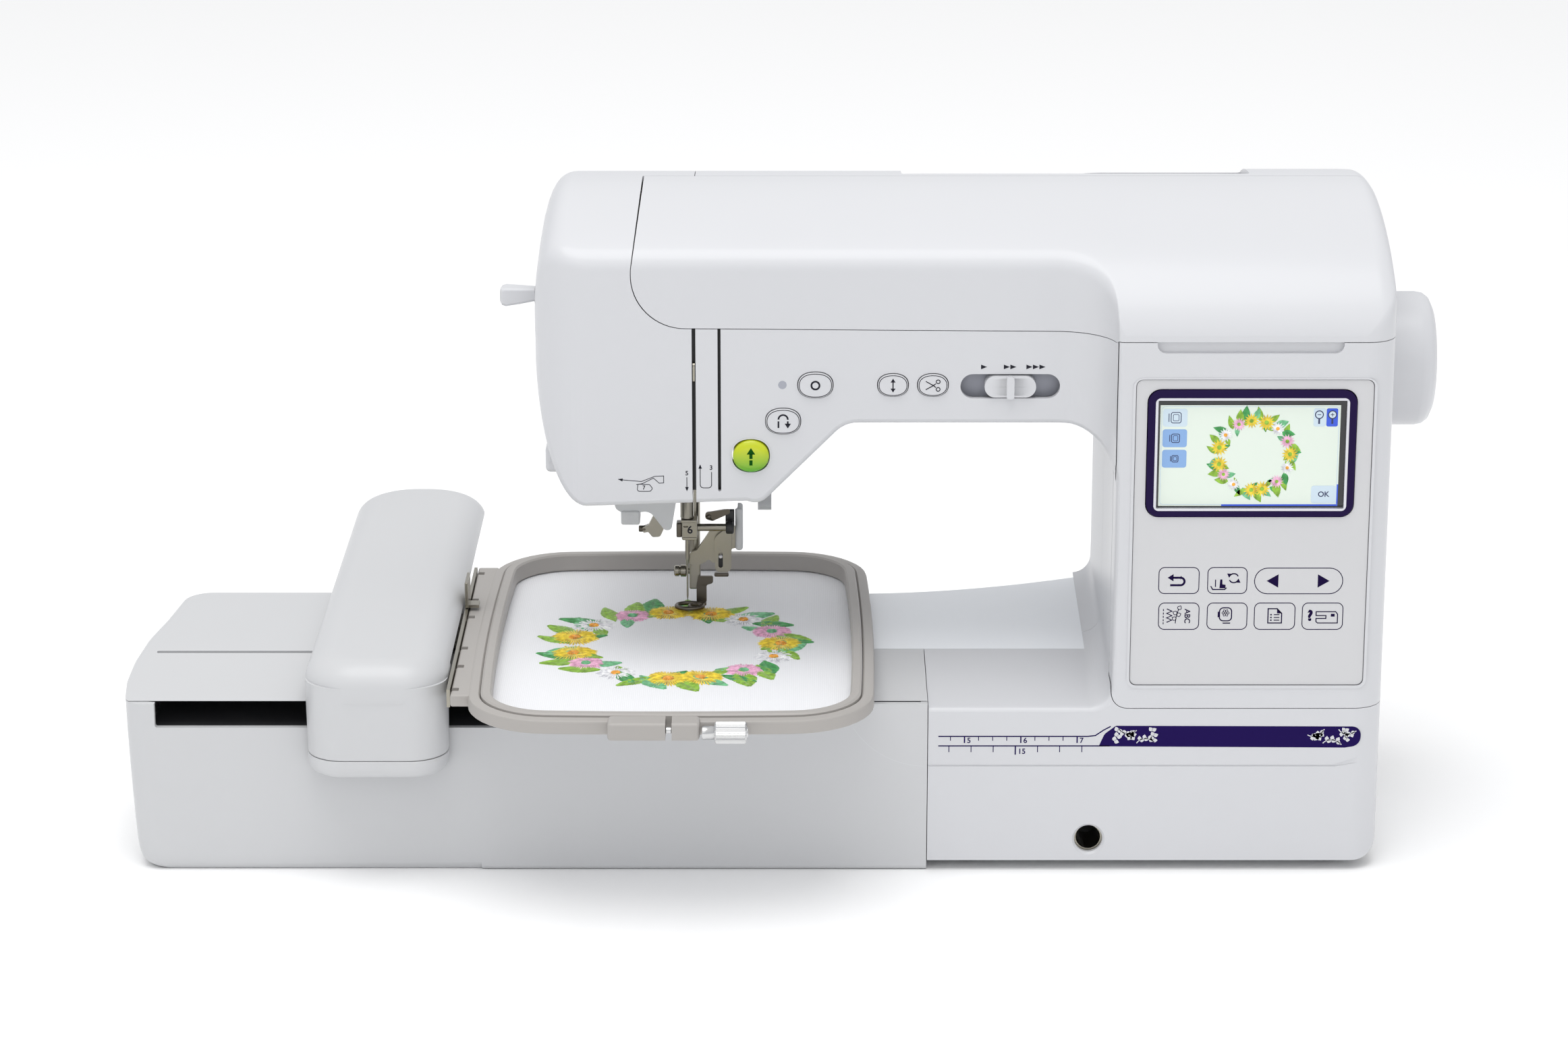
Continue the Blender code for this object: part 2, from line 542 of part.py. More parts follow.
def make_inside():
    frame = rounded([(-66.0, 240.0, 0.0), (-66.0, 222.0, 4.0), (176.0, 222.0, 10.0), (176.0, 48.0, 8.0),
                     (-110.0, 48.0, 0.0), (-110.0, 30.0, 4.0), (246.0, 30.0, 6.0), (246.0, 70.0, 8.0),
                     (204.0, 84.0, 8.0), (204.0, 214.0, 8.0), (246.0, 222.0, 4.0), (246.0, 240.0, 4.0)], 3)
    prism("main_frame", "cast_alloy", "Y", frame, 128.0, 140.0)
    motor = turned("main_motor", "cast_alloy", "X", (72.0, 118.0),
                   [(0.0, 240.0), (26.0, 240.0), (28.0, 238.0), (28.0, 192.0), (26.0, 190.0),
                    (0.0, 190.0)], 24)
    join(motor, turned("r", "cast_alloy", "X", (72.0, 118.0),
                       [(0.0, 258.0), (8.0, 258.0), (8.0, 249.0), (5.0, 248.0), (5.0, 230.0),
                        (0.0, 230.0)], 16))
    deck = block("inner_deck", "light_grey", -34.0, 262.0, 34.0, 100.0, 241.0, 243.4)
    spool = turned("spool_pin", "black_plastic", "X", (66.0, 262.0),
                   [(0.0, 128.0), (2.6, 128.0), (3.0, 126.0), (3.0, 76.0), (5.0, 75.0), (5.0, 70.0),
                    (0.0, 70.0)], 16)
    join(spool, block("r", "black_plastic", 70.5, 74.5, 60.0, 72.0, 243.8, 263.0))
    winder = turned("bobbin_winder", "light_grey", "Z", (230.0, 66.0),
                    [(0.0, 262.0), (3.0, 262.0), (3.0, 248.4), (9.0, 247.8), (9.0, 243.8),
                     (0.0, 243.8)], 20)
    hang("bobbin_winder", [winder], 230.0, 66.0, 243.8)
    socket = turned("knee_lifter_socket", "steel", "Y", KNEE_HOLE,
                    [(5.6, 24.0), (8.0, 24.0), (8.0, 3.3), (5.6, 3.3)], 24)
    inlet = block("power_inlet", "black_plastic", 262.3, 269.2, 118.4, 167.6, 24.4, 51.6, 1.0)
    cut(inlet, prism("r", "black_plastic", "X", rectangle(124.0, 138.0, 33.0, 43.0, 3.0), 264.5, 280.0))
    cut(inlet, prism("r", "black_plastic", "X", rectangle(146.0, 162.0, 31.0, 45.0, 1.0), 258.0, 280.0))
    rocker = [(148.0, 33.0), (160.0, 33.0), (160.0, 43.0), (148.0, 43.0)]
    switch = prism("power_switch", "black_plastic", "X", rocker, 263.0, 270.6)
    hang("power_switch", [switch], 264.0, 154.0, 38.0)
    lamp = block("lamp_lens", "display_glass", -37.4, -19.0, 70.0, 84.6, 155.0, 164.0)
    return lamp, deck, socket


def make_drive():
    """Handwheel, upper shaft, belt drive, lower shaft, rotary hook and bobbin."""
    profile = [(0.0, WHEEL_END), (14.0, WHEEL_END), (24.0, 300.2), (29.0, 297.5), (WHEEL_R, 293.0),
               (WHEEL_R, 275.0), (29.5, 272.0), (26.0, 271.0), (8.0, 271.0), (8.0, 268.0), (0.0, 268.0)]
    wheel = turned("handwheel", "body_white", "X", (WHEEL_Y, WHEEL_Z), profile, 48)
    shaft = rod("upper_shaft", "steel", "X", (WHEEL_Y, WHEEL_Z), 5.0, -34.0, 267.7, 16)
    join(shaft, rod("r", "steel", "X", (WHEEL_Y, WHEEL_Z), 13.0, -38.0, -33.0, 24))
    pulley = turned("drive_pulley", "black_plastic", "X", (WHEEL_Y, WHEEL_Z),
                    [(24.0, 260.0), (24.0, 249.0), (5.4, 249.0), (5.4, 260.0)], 32)
    hang("main_shaft", [wheel, shaft, pulley], WHEEL_END, WHEEL_Y, WHEEL_Z)
    lower = rod("lower_shaft", "steel", "X", (110.0, 62.0), 4.0, -26.0, 172.0, 16)
    join(lower, rod("r", "steel", "X", (110.0, 62.0), 9.0, -27.0, -20.0, 24))
    hang("lower_shaft", [lower], -26.0, 110.0, 62.0)
    hook = turned("rotary_hook", "steel", "Z", (NEEDLE_X, HOOK_Y),
                  [(0.0, 64.4), (8.0, 65.0), (16.6, 68.0), (16.6, 80.0), (18.0, 80.0), (18.0, 66.0),
                   (8.0, 62.0),
                   (8.0, 50.0), (0.0, 50.0)], 28)
    hang("rotary_hook", [hook], NEEDLE_X, HOOK_Y, 50.0)
    bobbin = turned("bobbin", "display_glass", "Z", (NEEDLE_X, HOOK_Y),
                    [(10.2, 80.0), (10.2, 79.0), (4.0, 78.4), (4.0, 69.9), (10.2, 69.3), (10.2, 68.3),
                     (2.6, 68.3),
                     (2.6, 80.0)], 20)
    hang("bobbin", [bobbin], NEEDLE_X, HOOK_Y, 74.0)
    profile = rounded([(26.2, 222.0, 1.5), (32.0, 222.0, 1.0), (66.0, 208.0, 6.0), (66.0, 218.0, 6.0),
                       (34.0, 231.0, 1.5), (26.2, 231.0, 1.5)], 3)
    take_up = prism("take_up_lever", "steel", "X", profile, -40.7, -39.8)
    hang("take_up_lever", [take_up], -40.2, 62.0, 214.0)


def make_needle():
    bar = rod("needle_bar", "steel", "Z", (NEEDLE_X, NEEDLE_Y), 3.2, 134.6, 236.0, 16)
    clamp = block("needle_clamp", "steel", NEEDLE_X - 3.4, NEEDLE_X + 4.9, NEEDLE_Y - 4.0, NEEDLE_Y + 4.0,
                  124.5, 134.3, 0.5)
    join(clamp, rod("r", "steel", "X", (NEEDLE_Y - 1.0, 129.8), 2.0, -42.0, -26.4, 16))
    join(clamp, rod("r", "steel", "X", (NEEDLE_Y - 1.0, 129.8), 3.4, -27.0, -20.8, 16))
    needle = turned("needle", "steel", "Z", (NEEDLE_X, NEEDLE_Y),
                    [(0.0, 124.2), (1.0, 124.2), (1.0, 114.0), (0.45, 111.0), (0.45, 96.0),
                     (0.0, NEEDLE_TIP)], 10)
    hang("needle_bar", [bar, clamp, needle], NEEDLE_X, NEEDLE_Y, 134.6)


def make_presser():
    bar = rod("presser_bar", "steel", "Z", (PRESSER_X, PRESSER_Y), 2.8, 113.0, 236.0, 16)
    foot = block("embroidery_foot", "steel", -44.9, -39.6, 116.2, 125.8, 97.0, 112.7, 0.4)
    join(foot, prism("r", "steel", "Y", [(-44.6, 109.0), (-44.6, 116.0), (-41.0, 117.2), (-32.6, 128.4),
                                         (-21.5, 128.4), (-21.5, 116.5), (-24.6, 115.5), (-24.6, 106.6),
                                         (-32.4, 106.6), (-33.6, 111.8), (-38.0, 109.0)], 114.6, 116.9))
    join(foot, block("r", "steel", -22.6, -19.4, 113.0, 123.5, 117.5, 138.5, 0.8))
    join(foot, block("r", "steel", -41.6, -36.6, 114.6, 117.0, 89.6, 101.0))
    ring = prism("r", "steel", "Z", oval(NEEDLE_X + 1.0, NEEDLE_Y, 7.3, 5.4, 20), 89.6, 91.2,
                 holes=[oval(NEEDLE_X, NEEDLE_Y, 3.6, 3.0, 14)])
    join(foot, ring)
    join(foot, block("r", "steel", -41.6, -36.6, 112.0, 116.0, 89.6, 91.2))
    join(foot, rod("r", "steel", "X", (120.0, 105.0), 2.9, -52.0, -44.0, 16))
    hang("presser_bar", [bar, foot], PRESSER_X, PRESSER_Y, 113.0)
    lever = prism("presser_lever", "light_grey", "X", rounded([(128.0, 133.5, 2.0), (131.0, 131.5, 1.5),
                  (152.0, 158.0, 3.0), (158.0, 176.0, 4.0), (148.0, 178.0, 4.0), (143.0, 162.0, 3.0)], 3),
                  -12.4, -6.0)
    hang("presser_lever", [lever], -9.2, 152.0, 172.0)


def make_threader():
    lever = block("threader_lever", "body_white", -128.9, -98.0, THREADER_Y - 2.6, THREADER_Y + 2.6,
                  THREADER_Z - 2.6, THREADER_Z + 3.0, 1.2)
    join(lever, block("r", "body_white", -128.9, -118.0, THREADER_Y - 5.0, THREADER_Y + 5.0,
                      THREADER_Z - 4.6, THREADER_Z + 4.9, 1.6))
    hang("threader_lever", [lever], THREADER_X, THREADER_Y, THREADER_Z)
    bell = rounded([(-76.6, 190.0, 0.0), (-76.6, 145.0, 3.0), (-74.0, 141.6, 2.0), (-62.0, 143.0, 6.0),
                    (-56.0, 133.0, 2.0), (-52.6, 133.0, 2.0), (-51.0, 150.0, 4.0), (-51.0, 190.0, 0.0)], 3)
    carrier = prism("threader_carrier", "light_grey", "Y", bell, 92.0, 106.0)
    join(carrier, rod("r", "light_grey", "Z", (-71.5, 97.0), 4.6, 136.5, 144.0, 16))
    join(carrier, block("r", "steel", -66.0, -55.0, 98.0, 101.0, 127.6, 136.0, 0.8))
    join(carrier, block("r", "steel", -62.0, -58.0, 98.4, 100.6, 134.0, 143.0))
    hang("threader_carrier", [carrier], -64.0, 99.0, 160.0)


def make_handle():
    """Carry handle lying in its pocket behind the lid, turning on pins at its front ends."""
    half, deep = 79.4, 40.0
    outline = rounded([(-half, -1.8, 1.5), (16.0 - half, -1.8, 1.5), (16.0 - half, 20.0, 6.0),
                       (half - 16.0, 20.0, 6.0), (half - 16.0, -1.8, 1.5), (half, -1.8, 1.5),
                       (half, deep, 14.0), (-half, deep, 14.0)], 4)
    outline = [(HANDLE_X + u, HANDLE_Y + v) for u, v in outline]
    return tilt(prism("carry_handle", "body_white", "Z", outline, HANDLE_Z - 3.6, HANDLE_Z + 2.6))


def handle_slab(name, grow, height):
    """The room that the folded handle takes in the crown, grown sideways and below."""
    outline = rectangle(HANDLE_X - 79.4 - grow, HANDLE_X + 79.4 + grow, HANDLE_Y - 3.0 - grow,
                        HANDLE_Y + 40.0 + grow, 2.0)
    return tilt(prism(name, "body_white", "Z", outline, HANDLE_Z - 3.6 - grow, HANDLE_Z + height))


def tilt(obj):
    """Lean a piece by the crown's slope about the handle's axis."""
    pivot = (Vector((HANDLE_X, HANDLE_Y, HANDLE_Z)) - ORIGIN) * MM
    lean = Matrix.Rotation(HANDLE_TILT, 4, "X")
    obj.data.transform(Matrix.Translation(pivot) @ lean @ Matrix.Translation(-pivot))
    return obj


# ---------------------------------------------------------------- embroidery unit

def unit_outline(shrink=0.0):
    """Embroidery unit's main block in plan, its left end slightly bowed."""
    left = [(-288.0, UNIT_REAR - shrink, 12.0), (-292.8, 110.0, 0.0), (-297.4, 80.0, 0.0),
            (UNIT_LEFT, 50.0, 0.0),
            (-299.0, 24.0, 0.0), (-296.6, shrink, 9.0)]
    corners = [(UNIT_RIGHT - shrink, shrink, 0.0), (UNIT_RIGHT - shrink, UNIT_REAR - shrink, 0.0)]
    return rounded(corners + [(x + shrink, y, radius) for x, y, radius in left], 3)


def make_unit():
    outline = unit_outline()
    rings = []
    for z, inward in ((0.0, 10.0), (2.0, 6.5), (7.0, 3.6), (20.0, 2.4), (50.0, 0.8),
                      (SLOT_Z[1] + 1.0, 0.0)):
        rings.append([(x + inward * (1 if x < -200.0 else 0), y, z) for x, y in outline])
    body = loft("unit_base", "unit_white", rings)
    leg = rounded([(UNIT_RIGHT - 4.0, 0.0, 0.0), (SEAM_X - GAP, 0.0, 0.0),
                   (SEAM_X - GAP, BED_FRONT - GAP, 0.0), (UNIT_RIGHT - 4.0, BED_FRONT - GAP, 0.0)], 1)
    join(body, prism("r", "unit_white", "Z", leg, 0.0, SLOT_Z[1] + 1.0))
    inner = [(x + (2.6 if x < -200.0 else 0.0), y) for x, y in unit_outline(WALL)]
    cut(body, prism("r", "unit_white", "Z", inner, 3.5, 90.0))
    cut(body, block("r", "unit_white", UNIT_RIGHT - 6.0, SEAM_X - GAP - WALL, WALL, BED_FRONT - GAP - WALL,
                    3.5, 90.0))
    cut(body, block("r", "unit_white", -283.5, -72.0, -5.0, 10.0, SLOT_Z[0], 100.0))

    top = prism("unit_top_cover", "unit_white", "Z", outline, SLOT_Z[1] + 1.3, UNIT_TOP)
    join(top, prism("r", "unit_white", "Z", leg, SLOT_Z[1] + 1.3, UNIT_TOP))
    lip = [(-5.0, 90.0), (-5.0, 70.0), (0.01, 70.0), (0.01, LIP), (4.0, LIP + 2.2), (BED_FRONT, BED + 0.01),
           (BED_FRONT, 90.0)]
    cut(top, prism("r", "unit_white", "X", lip, -320.0, 100.0))
    cut(top, block("r", "unit_white", -290.0, -75.0, 58.0, 60.0, 70.0, 100.0))
    rail = rod("unit_rail", "steel", "X", (105.0, 60.0), 4.0, -284.0, -140.0, 16)
    return body, top, rail


def make_carriage():
    left, right, front, low, high = CARRIAGE
    middle, half = (left + right) / 2, (right - left) / 2
    rings = []
    levels = ((86.6, 0.4), (90.0, 0.0), (96.0, 0.5), (101.0, 3.4), (103.6, 8.0), (high, 14.0))
    for z, inward in levels:
        rings.append([(x, y, z) for x, y in rounded([
            (left + inward, front + inward, 22.0 - inward), (right - inward, front + inward, 22.0 - inward),
            (right - inward, CARRIAGE_REAR - inward, 27.0 - inward), (left + inward, CARRIAGE_REAR - inward,
                                                                     27.0 - inward)], 5)])
    cover = loft("carriage_cover", "unit_white", rings)
    nose = []
    for z, inward in ((59.9, 0.9), (80.0, 0.6), (94.0, 0.6)):
        nose.append([(x, y, z) for x, y in rounded([
            (left + inward, front + inward, 17.0), (right - inward, front + inward, 17.0),
            (right - inward, -2.0, 0.0), (left + inward, -2.0, 0.0)], 5)])
    join(cover, loft("r", "unit_white", nose))
    base_rings = []
    for z, inward in ((low, 7.0), (low + 1.2, 3.4), (low + 4.0, 1.2), (59.6, 0.9)):
        base_rings.append([(x, y, z) for x, y in rounded([
            (left + inward, front + inward, 12.0), (right - inward, front + inward, 12.0),
            (right - inward, -2.2, 0.0), (left + inward, -2.2, 0.0)], 5)])
    foot = loft("carriage_foot", "unit_white", base_rings)
    join(foot, block("r", "black_plastic", middle - 12.0, middle + 12.0, -6.0, 16.0, 72.0, 76.0))
    join(foot, block("r", "black_plastic", middle - 12.0, middle + 12.0, -6.0, -2.3, 56.0, 76.0))
    cut(cover, block("r", "unit_white", middle - 12.4, middle + 12.4, -6.5, 20.0, 50.0, 76.4))
    cut(cover, block("r", "unit_white", right - 7.0, right + 5.0, 10.0, 262.0, 80.0, 96.0))
    return cover, foot


# ---------------------------------------------------------------- hoop

def hoop_outline(half_x, half_y, bow=3.0, corner=34.0, steps=5):
    """A frame outline with sides bowed outward by bow and rounded corners."""
    points = []
    inner_x, inner_y = half_x - bow, half_y - bow
    for k in range(4 * steps):
        side, t = divmod(k, steps)
        quarter = math.pi / 2 * (t / (steps - 1) if steps > 1 else 0.0)
        angle = quarter + side * math.pi / 2
        sign_x = 1 if side in (0, 3) else -1
        sign_y = 1 if side in (0, 1) else -1
        points.append((HOOP_X + sign_x * (inner_x - corner) + corner * math.cos(angle),
                       HOOP_Y + sign_y * (inner_y - corner) + corner * math.sin(angle)))
    bowed = []
    for (x, y) in points:
        dx, dy = (x - HOOP_X) / half_x, (y - HOOP_Y) / half_y
        bowed.append((x + bow * math.copysign(1.0, dx) * (1 - min(abs(dy), 1.0) ** 2) * (abs(dx) > 0.5),
                      y + bow * math.copysign(1.0, dy) * (1 - min(abs(dx), 1.0) ** 2) * (abs(dy) > 0.5)))
    result = []
    count = len(bowed)
    for i, (x, y) in enumerate(bowed):
        result.append((x, y))
        nx, ny = bowed[(i + 1) % count]
        if math.hypot(nx - x, ny - y) > 60.0:
            for t in (0.25, 0.5, 0.75):
                px, py = x + (nx - x) * t, y + (ny - y) * t
                swell = bow * (1 - (2 * t - 1) ** 2)
                if abs(nx - x) > abs(ny - y):
                    result.append((px, py + math.copysign(swell, py - HOOP_Y)))
                else:
                    result.append((px + math.copysign(swell, px - HOOP_X), py))
    return result


def make_hoop():
    low, high = RING_Z
    outer = prism("hoop_outer_ring", "hoop_beige", "Z", hoop_outline(HOOP_HALF_X, HOOP_HALF_Y), low,
                  high - 1.2, holes=[hoop_outline(HOOP_HALF_X - 5.2, HOOP_HALF_Y - 5.2, corner=29.0)])
    split = HOOP_X + 0.0
    front = HOOP_Y - HOOP_HALF_Y
    join(outer, block("r", "hoop_beige", split - 26.5, split + 13.5, front - 8.5, front + 3.0, low,
                      high + 0.6, 1.0))
    cut(outer, block("r", "hoop_beige", split - 1.4, split + 1.4, front - 12.0, front + 8.0, 80.0, 110.0))
    bar_x = HOOP_X - HOOP_HALF_X - 6.5
    join(outer, block("r", "hoop_beige", bar_x, bar_x + 10.0, -30.0, 160.0, low, high - 2.0, 0.8))
    inner = prism("hoop_inner_ring", "hoop_beige", "Z",
                  hoop_outline(HOOP_HALF_X - 5.5, HOOP_HALF_Y - 5.5, corner=28.7), FABRIC_Z + 0.3, high,
                  holes=[hoop_outline(HOOP_HALF_X - 10.2, HOOP_HALF_Y - 10.2, corner=24.0)])
    cloth_edge = hoop_outline(HOOP_HALF_X - 6.0, HOOP_HALF_Y - 6.0, corner=28.0)
    fabric = prism("hoop_fabric", "cloth_white", "Z", cloth_edge, FABRIC_Z - 0.8, FABRIC_Z)
    screw_x = split + 14.0
    screw_y = SCREW_FRONT + SCREW_R
    screw = turned("hoop_screw", "steel", "X", (screw_y, 92.0),
                   [(0.0, screw_x + 20.5), (SCREW_R - 0.8, screw_x + 20.5), (SCREW_R, screw_x + 19.7),
                    (SCREW_R, screw_x + 6.0), (3.6, screw_x + 5.0), (3.6, screw_x + 0.4),
                    (0.0, screw_x + 0.4)], 28)
    hang("hoop_screw", [screw], screw_x, screw_y, 92.0)
    return outer, inner, fabric, screw


def make_holder():
    """Frame holder that sticks out of the carriage, and the lever that locks the hoop to it."""
    plate_x = HOOP_X - HOOP_HALF_X - 6.8
    holder = block("frame_holder", "steel", plate_x - 1.5, plate_x, -26.0, 156.0, 87.2, 95.4)
    join(holder, block("r", "black_plastic", CARRIAGE[1] - 6.0, plate_x - 1.0, 56.0, 100.0, 88.0, 90.0))
    lever = block("frame_lever", "steel", plate_x - 1.5, plate_x + 5.0, 91.0, 98.0, 95.8, 97.2)
    join(lever, block("r", "steel", plate_x - 1.5, plate_x, 91.0, 108.0, 95.8, 108.0, 0.4))
    hang("frame_lever", [lever], plate_x - 0.8, 92.0, 96.5)
    return holder, lever


# ---------------------------------------------------------------- assembly

def hang(name, pieces, x, y, z):
    """Parent a moving body's pieces to an empty on its joint's axis."""
    empty = bpy.data.objects.new("axis_" + name, None)
    empty.location = (Vector((x, y, z)) - ORIGIN) * MM
    empty.empty_display_size = 0.01
    PARTS.objects.link(empty)
    offset = Matrix.Translation(-empty.location)
    for piece in pieces:
        piece.data.transform(offset)
        piece.parent = empty


def main():
    for obj in list(bpy.data.objects):
        bpy.data.objects.remove(obj)
    bpy.context.scene.collection.children.link(PARTS)
    lid = make_casings()
    hang("lid", [lid], 74.0, LID_REAR + GAP, TOP)
    make_bed()
    make_feet()
    make_panel()
    make_buttons()
    make_inside()
    make_drive()
    make_needle()
    make_presser()
    make_threader()
    hang("handle", [make_handle()], HANDLE_X, HANDLE_Y, HANDLE_Z)
    make_unit()
    cover, foot = make_carriage()
    hang("carriage", [cover, foot], (CARRIAGE[0] + CARRIAGE[1]) / 2, CARRIAGE[2], CARRIAGE[3])
    holder, _lever = make_holder()
    outer, inner, fabric, _screw = make_hoop()
    hang("frame", [holder, outer, inner, fabric], CARRIAGE[1], HOOP_Y, FABRIC_Z)


main()
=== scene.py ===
"""Looks of the embroidery machine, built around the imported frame.

Lengths are written in millimetres in the machine's own frame (X right, Y to the rear, Z up) and
scaled to metres when a mesh is made, so that every piece lies where its CAD node lies.
"""
import json
import math
import random
from collections import defaultdict
from functools import partial

import bmesh
import bpy
from mathutils import Matrix, Vector
from mathutils.noise import noise


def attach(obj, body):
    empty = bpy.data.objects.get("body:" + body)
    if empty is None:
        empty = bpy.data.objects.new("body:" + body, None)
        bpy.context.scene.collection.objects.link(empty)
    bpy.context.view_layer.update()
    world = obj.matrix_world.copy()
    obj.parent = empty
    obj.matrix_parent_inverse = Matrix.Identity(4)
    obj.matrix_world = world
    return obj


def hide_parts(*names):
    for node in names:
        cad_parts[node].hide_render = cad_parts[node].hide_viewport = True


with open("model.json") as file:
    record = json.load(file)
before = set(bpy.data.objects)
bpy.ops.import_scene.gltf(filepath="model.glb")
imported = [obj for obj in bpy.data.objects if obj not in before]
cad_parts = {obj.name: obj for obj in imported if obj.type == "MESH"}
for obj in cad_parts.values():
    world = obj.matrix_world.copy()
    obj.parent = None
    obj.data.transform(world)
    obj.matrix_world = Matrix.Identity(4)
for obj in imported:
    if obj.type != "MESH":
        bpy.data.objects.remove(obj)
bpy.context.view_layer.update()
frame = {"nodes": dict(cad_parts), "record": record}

MM = 0.001
ORIGIN = Vector((0.85, 96.9, 0.0))
GAP, WALL = 0.35, 3.0
PRINT_ROOT = 0.05
FAR_FRONT, FAR_REAR = -30.0, 230.0
ALL_YZ = (-50.0, 300.0, -10.0, 400.0)

HEAD_LEFT, HEAD_CUT, TONGUE_LEFT = -112.0, -41.1, -39.4
ARM_FRONT, ARM_REAR, COLUMN_REAR = 25.0, 172.0, 182.0
ARM_UNDER, HEAD_UNDER = 203.4, 164.5
WALL_X, COLUMN_RIGHT = 149.8, 270.0
EDGE_X, EDGE_ROUND, EDGE_MARGIN = 147.0, 2.5, 0.14
ARM_FILLET = 25.5
HEAD_ROUND, HEAD_ROUND_REAR, COLUMN_ROUND = 24.0, 20.0, 14.0
COLUMN_START = 110.0
SEAM_X = 65.0
BED, LIP, BED_FRONT = 85.0, 78.0, 62.7
CASE_BOTTOM, TOP, LID_EDGE, SHOULDER = 4.6, 299.5, 247.2, 240.0
CROWN_Y, CROWN_POWER = 95.0, 1.75
REAR_SHOULDER, REAR_POWER = 250.0, 2.4
LID_REAR, HALF = 104.0, 88.0
PANEL_LEFT, PANEL_BOTTOM, PANEL_DEPTH = 147.3, 77.8, 18.0
SHEET, SHEET_FRONT = (155.3, 259.7, 88.8, 230.2), 0.3
BEZEL = (160.5, 252.5, 167.6, 225.7)
LCD = (166.1, 245.7, 172.0, 218.3)
KEYS = (((167.2, 185.1, 131.7, 143.9), 2.6), ((189.0, 206.5, 131.7, 143.9), 2.6),
        ((209.9, 249.2, 131.6, 143.6), 5.9), ((167.5, 185.5, 114.9, 127.3), 2.6),
        ((189.2, 207.0, 114.9, 127.3), 2.6), ((210.3, 228.4, 114.9, 127.3), 2.6),
        ((231.7, 249.8, 114.9, 127.3), 2.6))
BUTTONS = {
    "start_stop_button": (-14.8, 188.7, 8.1, 7.3, 22.4),
    "reverse_button": (-0.4, 204.7, 7.7, 5.8, 23.9),
    "reinforcement_button": (14.0, 221.4, 7.7, 5.8, 23.9),
    "needle_position_button": (48.6, 221.4, 6.7, 5.05, 23.9),
    "thread_cutter_button": (66.4, 221.4, 6.7, 5.05, 23.9),
}
SPEED_SLOT = (100.9, 220.8, 22.2, 5.6)
SPEED_KNOB = (11.5, 4.9)
WHEEL_Y, WHEEL_Z, WHEEL_R, WHEEL_END = 108.0, 212.4, 31.0, 301.0
NEEDLE_X, NEEDLE_Y = -45.6, 110.0
THREADER_Y = 78.0
UNIT_LEFT, UNIT_RIGHT, UNIT_REAR, UNIT_TOP = -299.3, -133.5, 152.0, 85.0
ARM_LEFT, ARM_BACK = -130.0, 147.0
CARRIAGE = (-215.0, -150.0, -22.0, 272.0, 50.5, 104.5)
SLOT_Z = (68.4, 78.6)
HOOP_X, HOOP_Y, HOOP_HALF_X, HOOP_HALF_Y = -50.0, 59.5, 91.3, 126.5
RING_Z = (88.6, 96.2)
FABRIC_Z = 87.5
KNEE_HOLE = (138.2, 14.8)
SCREW_FRONT, SCREW_R = -78.2, 4.8
HANDLE, HANDLE_HALF = Vector((134.0, 113.0, 295.2)), 79.4
HANDLE_TILT = math.radians(-11.0)


# ---------------------------------------------------------------- camera, light and floor

CAMERA_PLACE, CAMERA_TILT = (-0.00085, -1.9289, 0.715), 16.82
CAMERA_SENSOR, CAMERA_LENS = 36.0, 98.88
HORIZON, ZENITH = (0.0, (0.78, 0.80, 0.84, 1.0)), (0.75, (1.0, 1.0, 1.0, 1.0))
SKY_STRENGTH = 0.86
LIGHTS = (("key_light", (-0.2, -0.45, 2.3), (0.0, 0.0, 0.1), 1.9, 23.0),
          ("front_light", (0.0, -2.1, 2.0), (0.0, 0.0, 0.12), 2.4, 7.0))
FLOOR_HALF, FLOOR_DROP = 12.0, 0.0002


def add_to_scene(name, data):
    obj = bpy.data.objects.new(name, data)
    bpy.context.scene.collection.objects.link(obj)
    return obj


def make_camera():
    data = bpy.data.cameras.new("camera")
    data.sensor_width, data.lens = CAMERA_SENSOR, CAMERA_LENS
    data.clip_start, data.clip_end = 0.05, 50.0
    camera = add_to_scene("camera", data)
    camera.location = CAMERA_PLACE
    camera.rotation_euler = (math.radians(90.0 - CAMERA_TILT), 0.0, 0.0)
    bpy.context.scene.camera = camera


def area_light(name, location, target, size, power):
    data = bpy.data.lights.new(name, "AREA")
    data.shape, data.size, data.energy = "DISK", size, power
    light = add_to_scene(name, data)
    light.location = location
    light.rotation_euler = (Vector(target) - Vector(location)).to_track_quat("-Z", "Y").to_euler()


def make_sky():
    """Even sky, a little darker and bluer at the horizon than overhead."""
    world = bpy.data.worlds.new("studio")
    world.use_nodes = True
    tree = world.node_tree
    background = tree.nodes["Background"]
    coordinates, split = node_of(tree, "ShaderNodeTexCoord"), node_of(tree, "ShaderNodeSeparateXYZ")
    wire(coordinates, "Generated", split, 0)
    ramp = colour_ramp(tree, HORIZON, ZENITH)
    wire(split, "Z", ramp, "Fac")
    wire(ramp, "Color", background, "Color")
    background.inputs["Strength"].default_value = SKY_STRENGTH
    bpy.context.scene.world = world


def make_studio():
    bpy.context.scene.view_settings.view_transform = "Standard"
    make_sky()
    for light in LIGHTS:
        area_light(*light)
    half = FLOOR_HALF
    mesh = bpy.data.meshes.new("floor")
    mesh.from_pydata([(-half, -half, 0), (half, -half, 0), (half, half, 0), (-half, half, 0)], [],
                     [(0, 1, 2, 3)])
    mesh.materials.append(plain_material("floor_white", (1.0, 1.0, 1.0), 0.8))
    floor = add_to_scene("floor", mesh)
    floor.location.z = -FLOOR_DROP


# ---------------------------------------------------------------- materials

def node_of(tree, kind, **values):
    node = tree.nodes.new(kind)
    for name, value in values.items():
        if name in node.inputs:
            node.inputs[name].default_value = value
        else:
            setattr(node, name, value)
    return node


def wire(source, output, target, socket):
    source.id_data.links.new(source.outputs[output], target.inputs[socket])


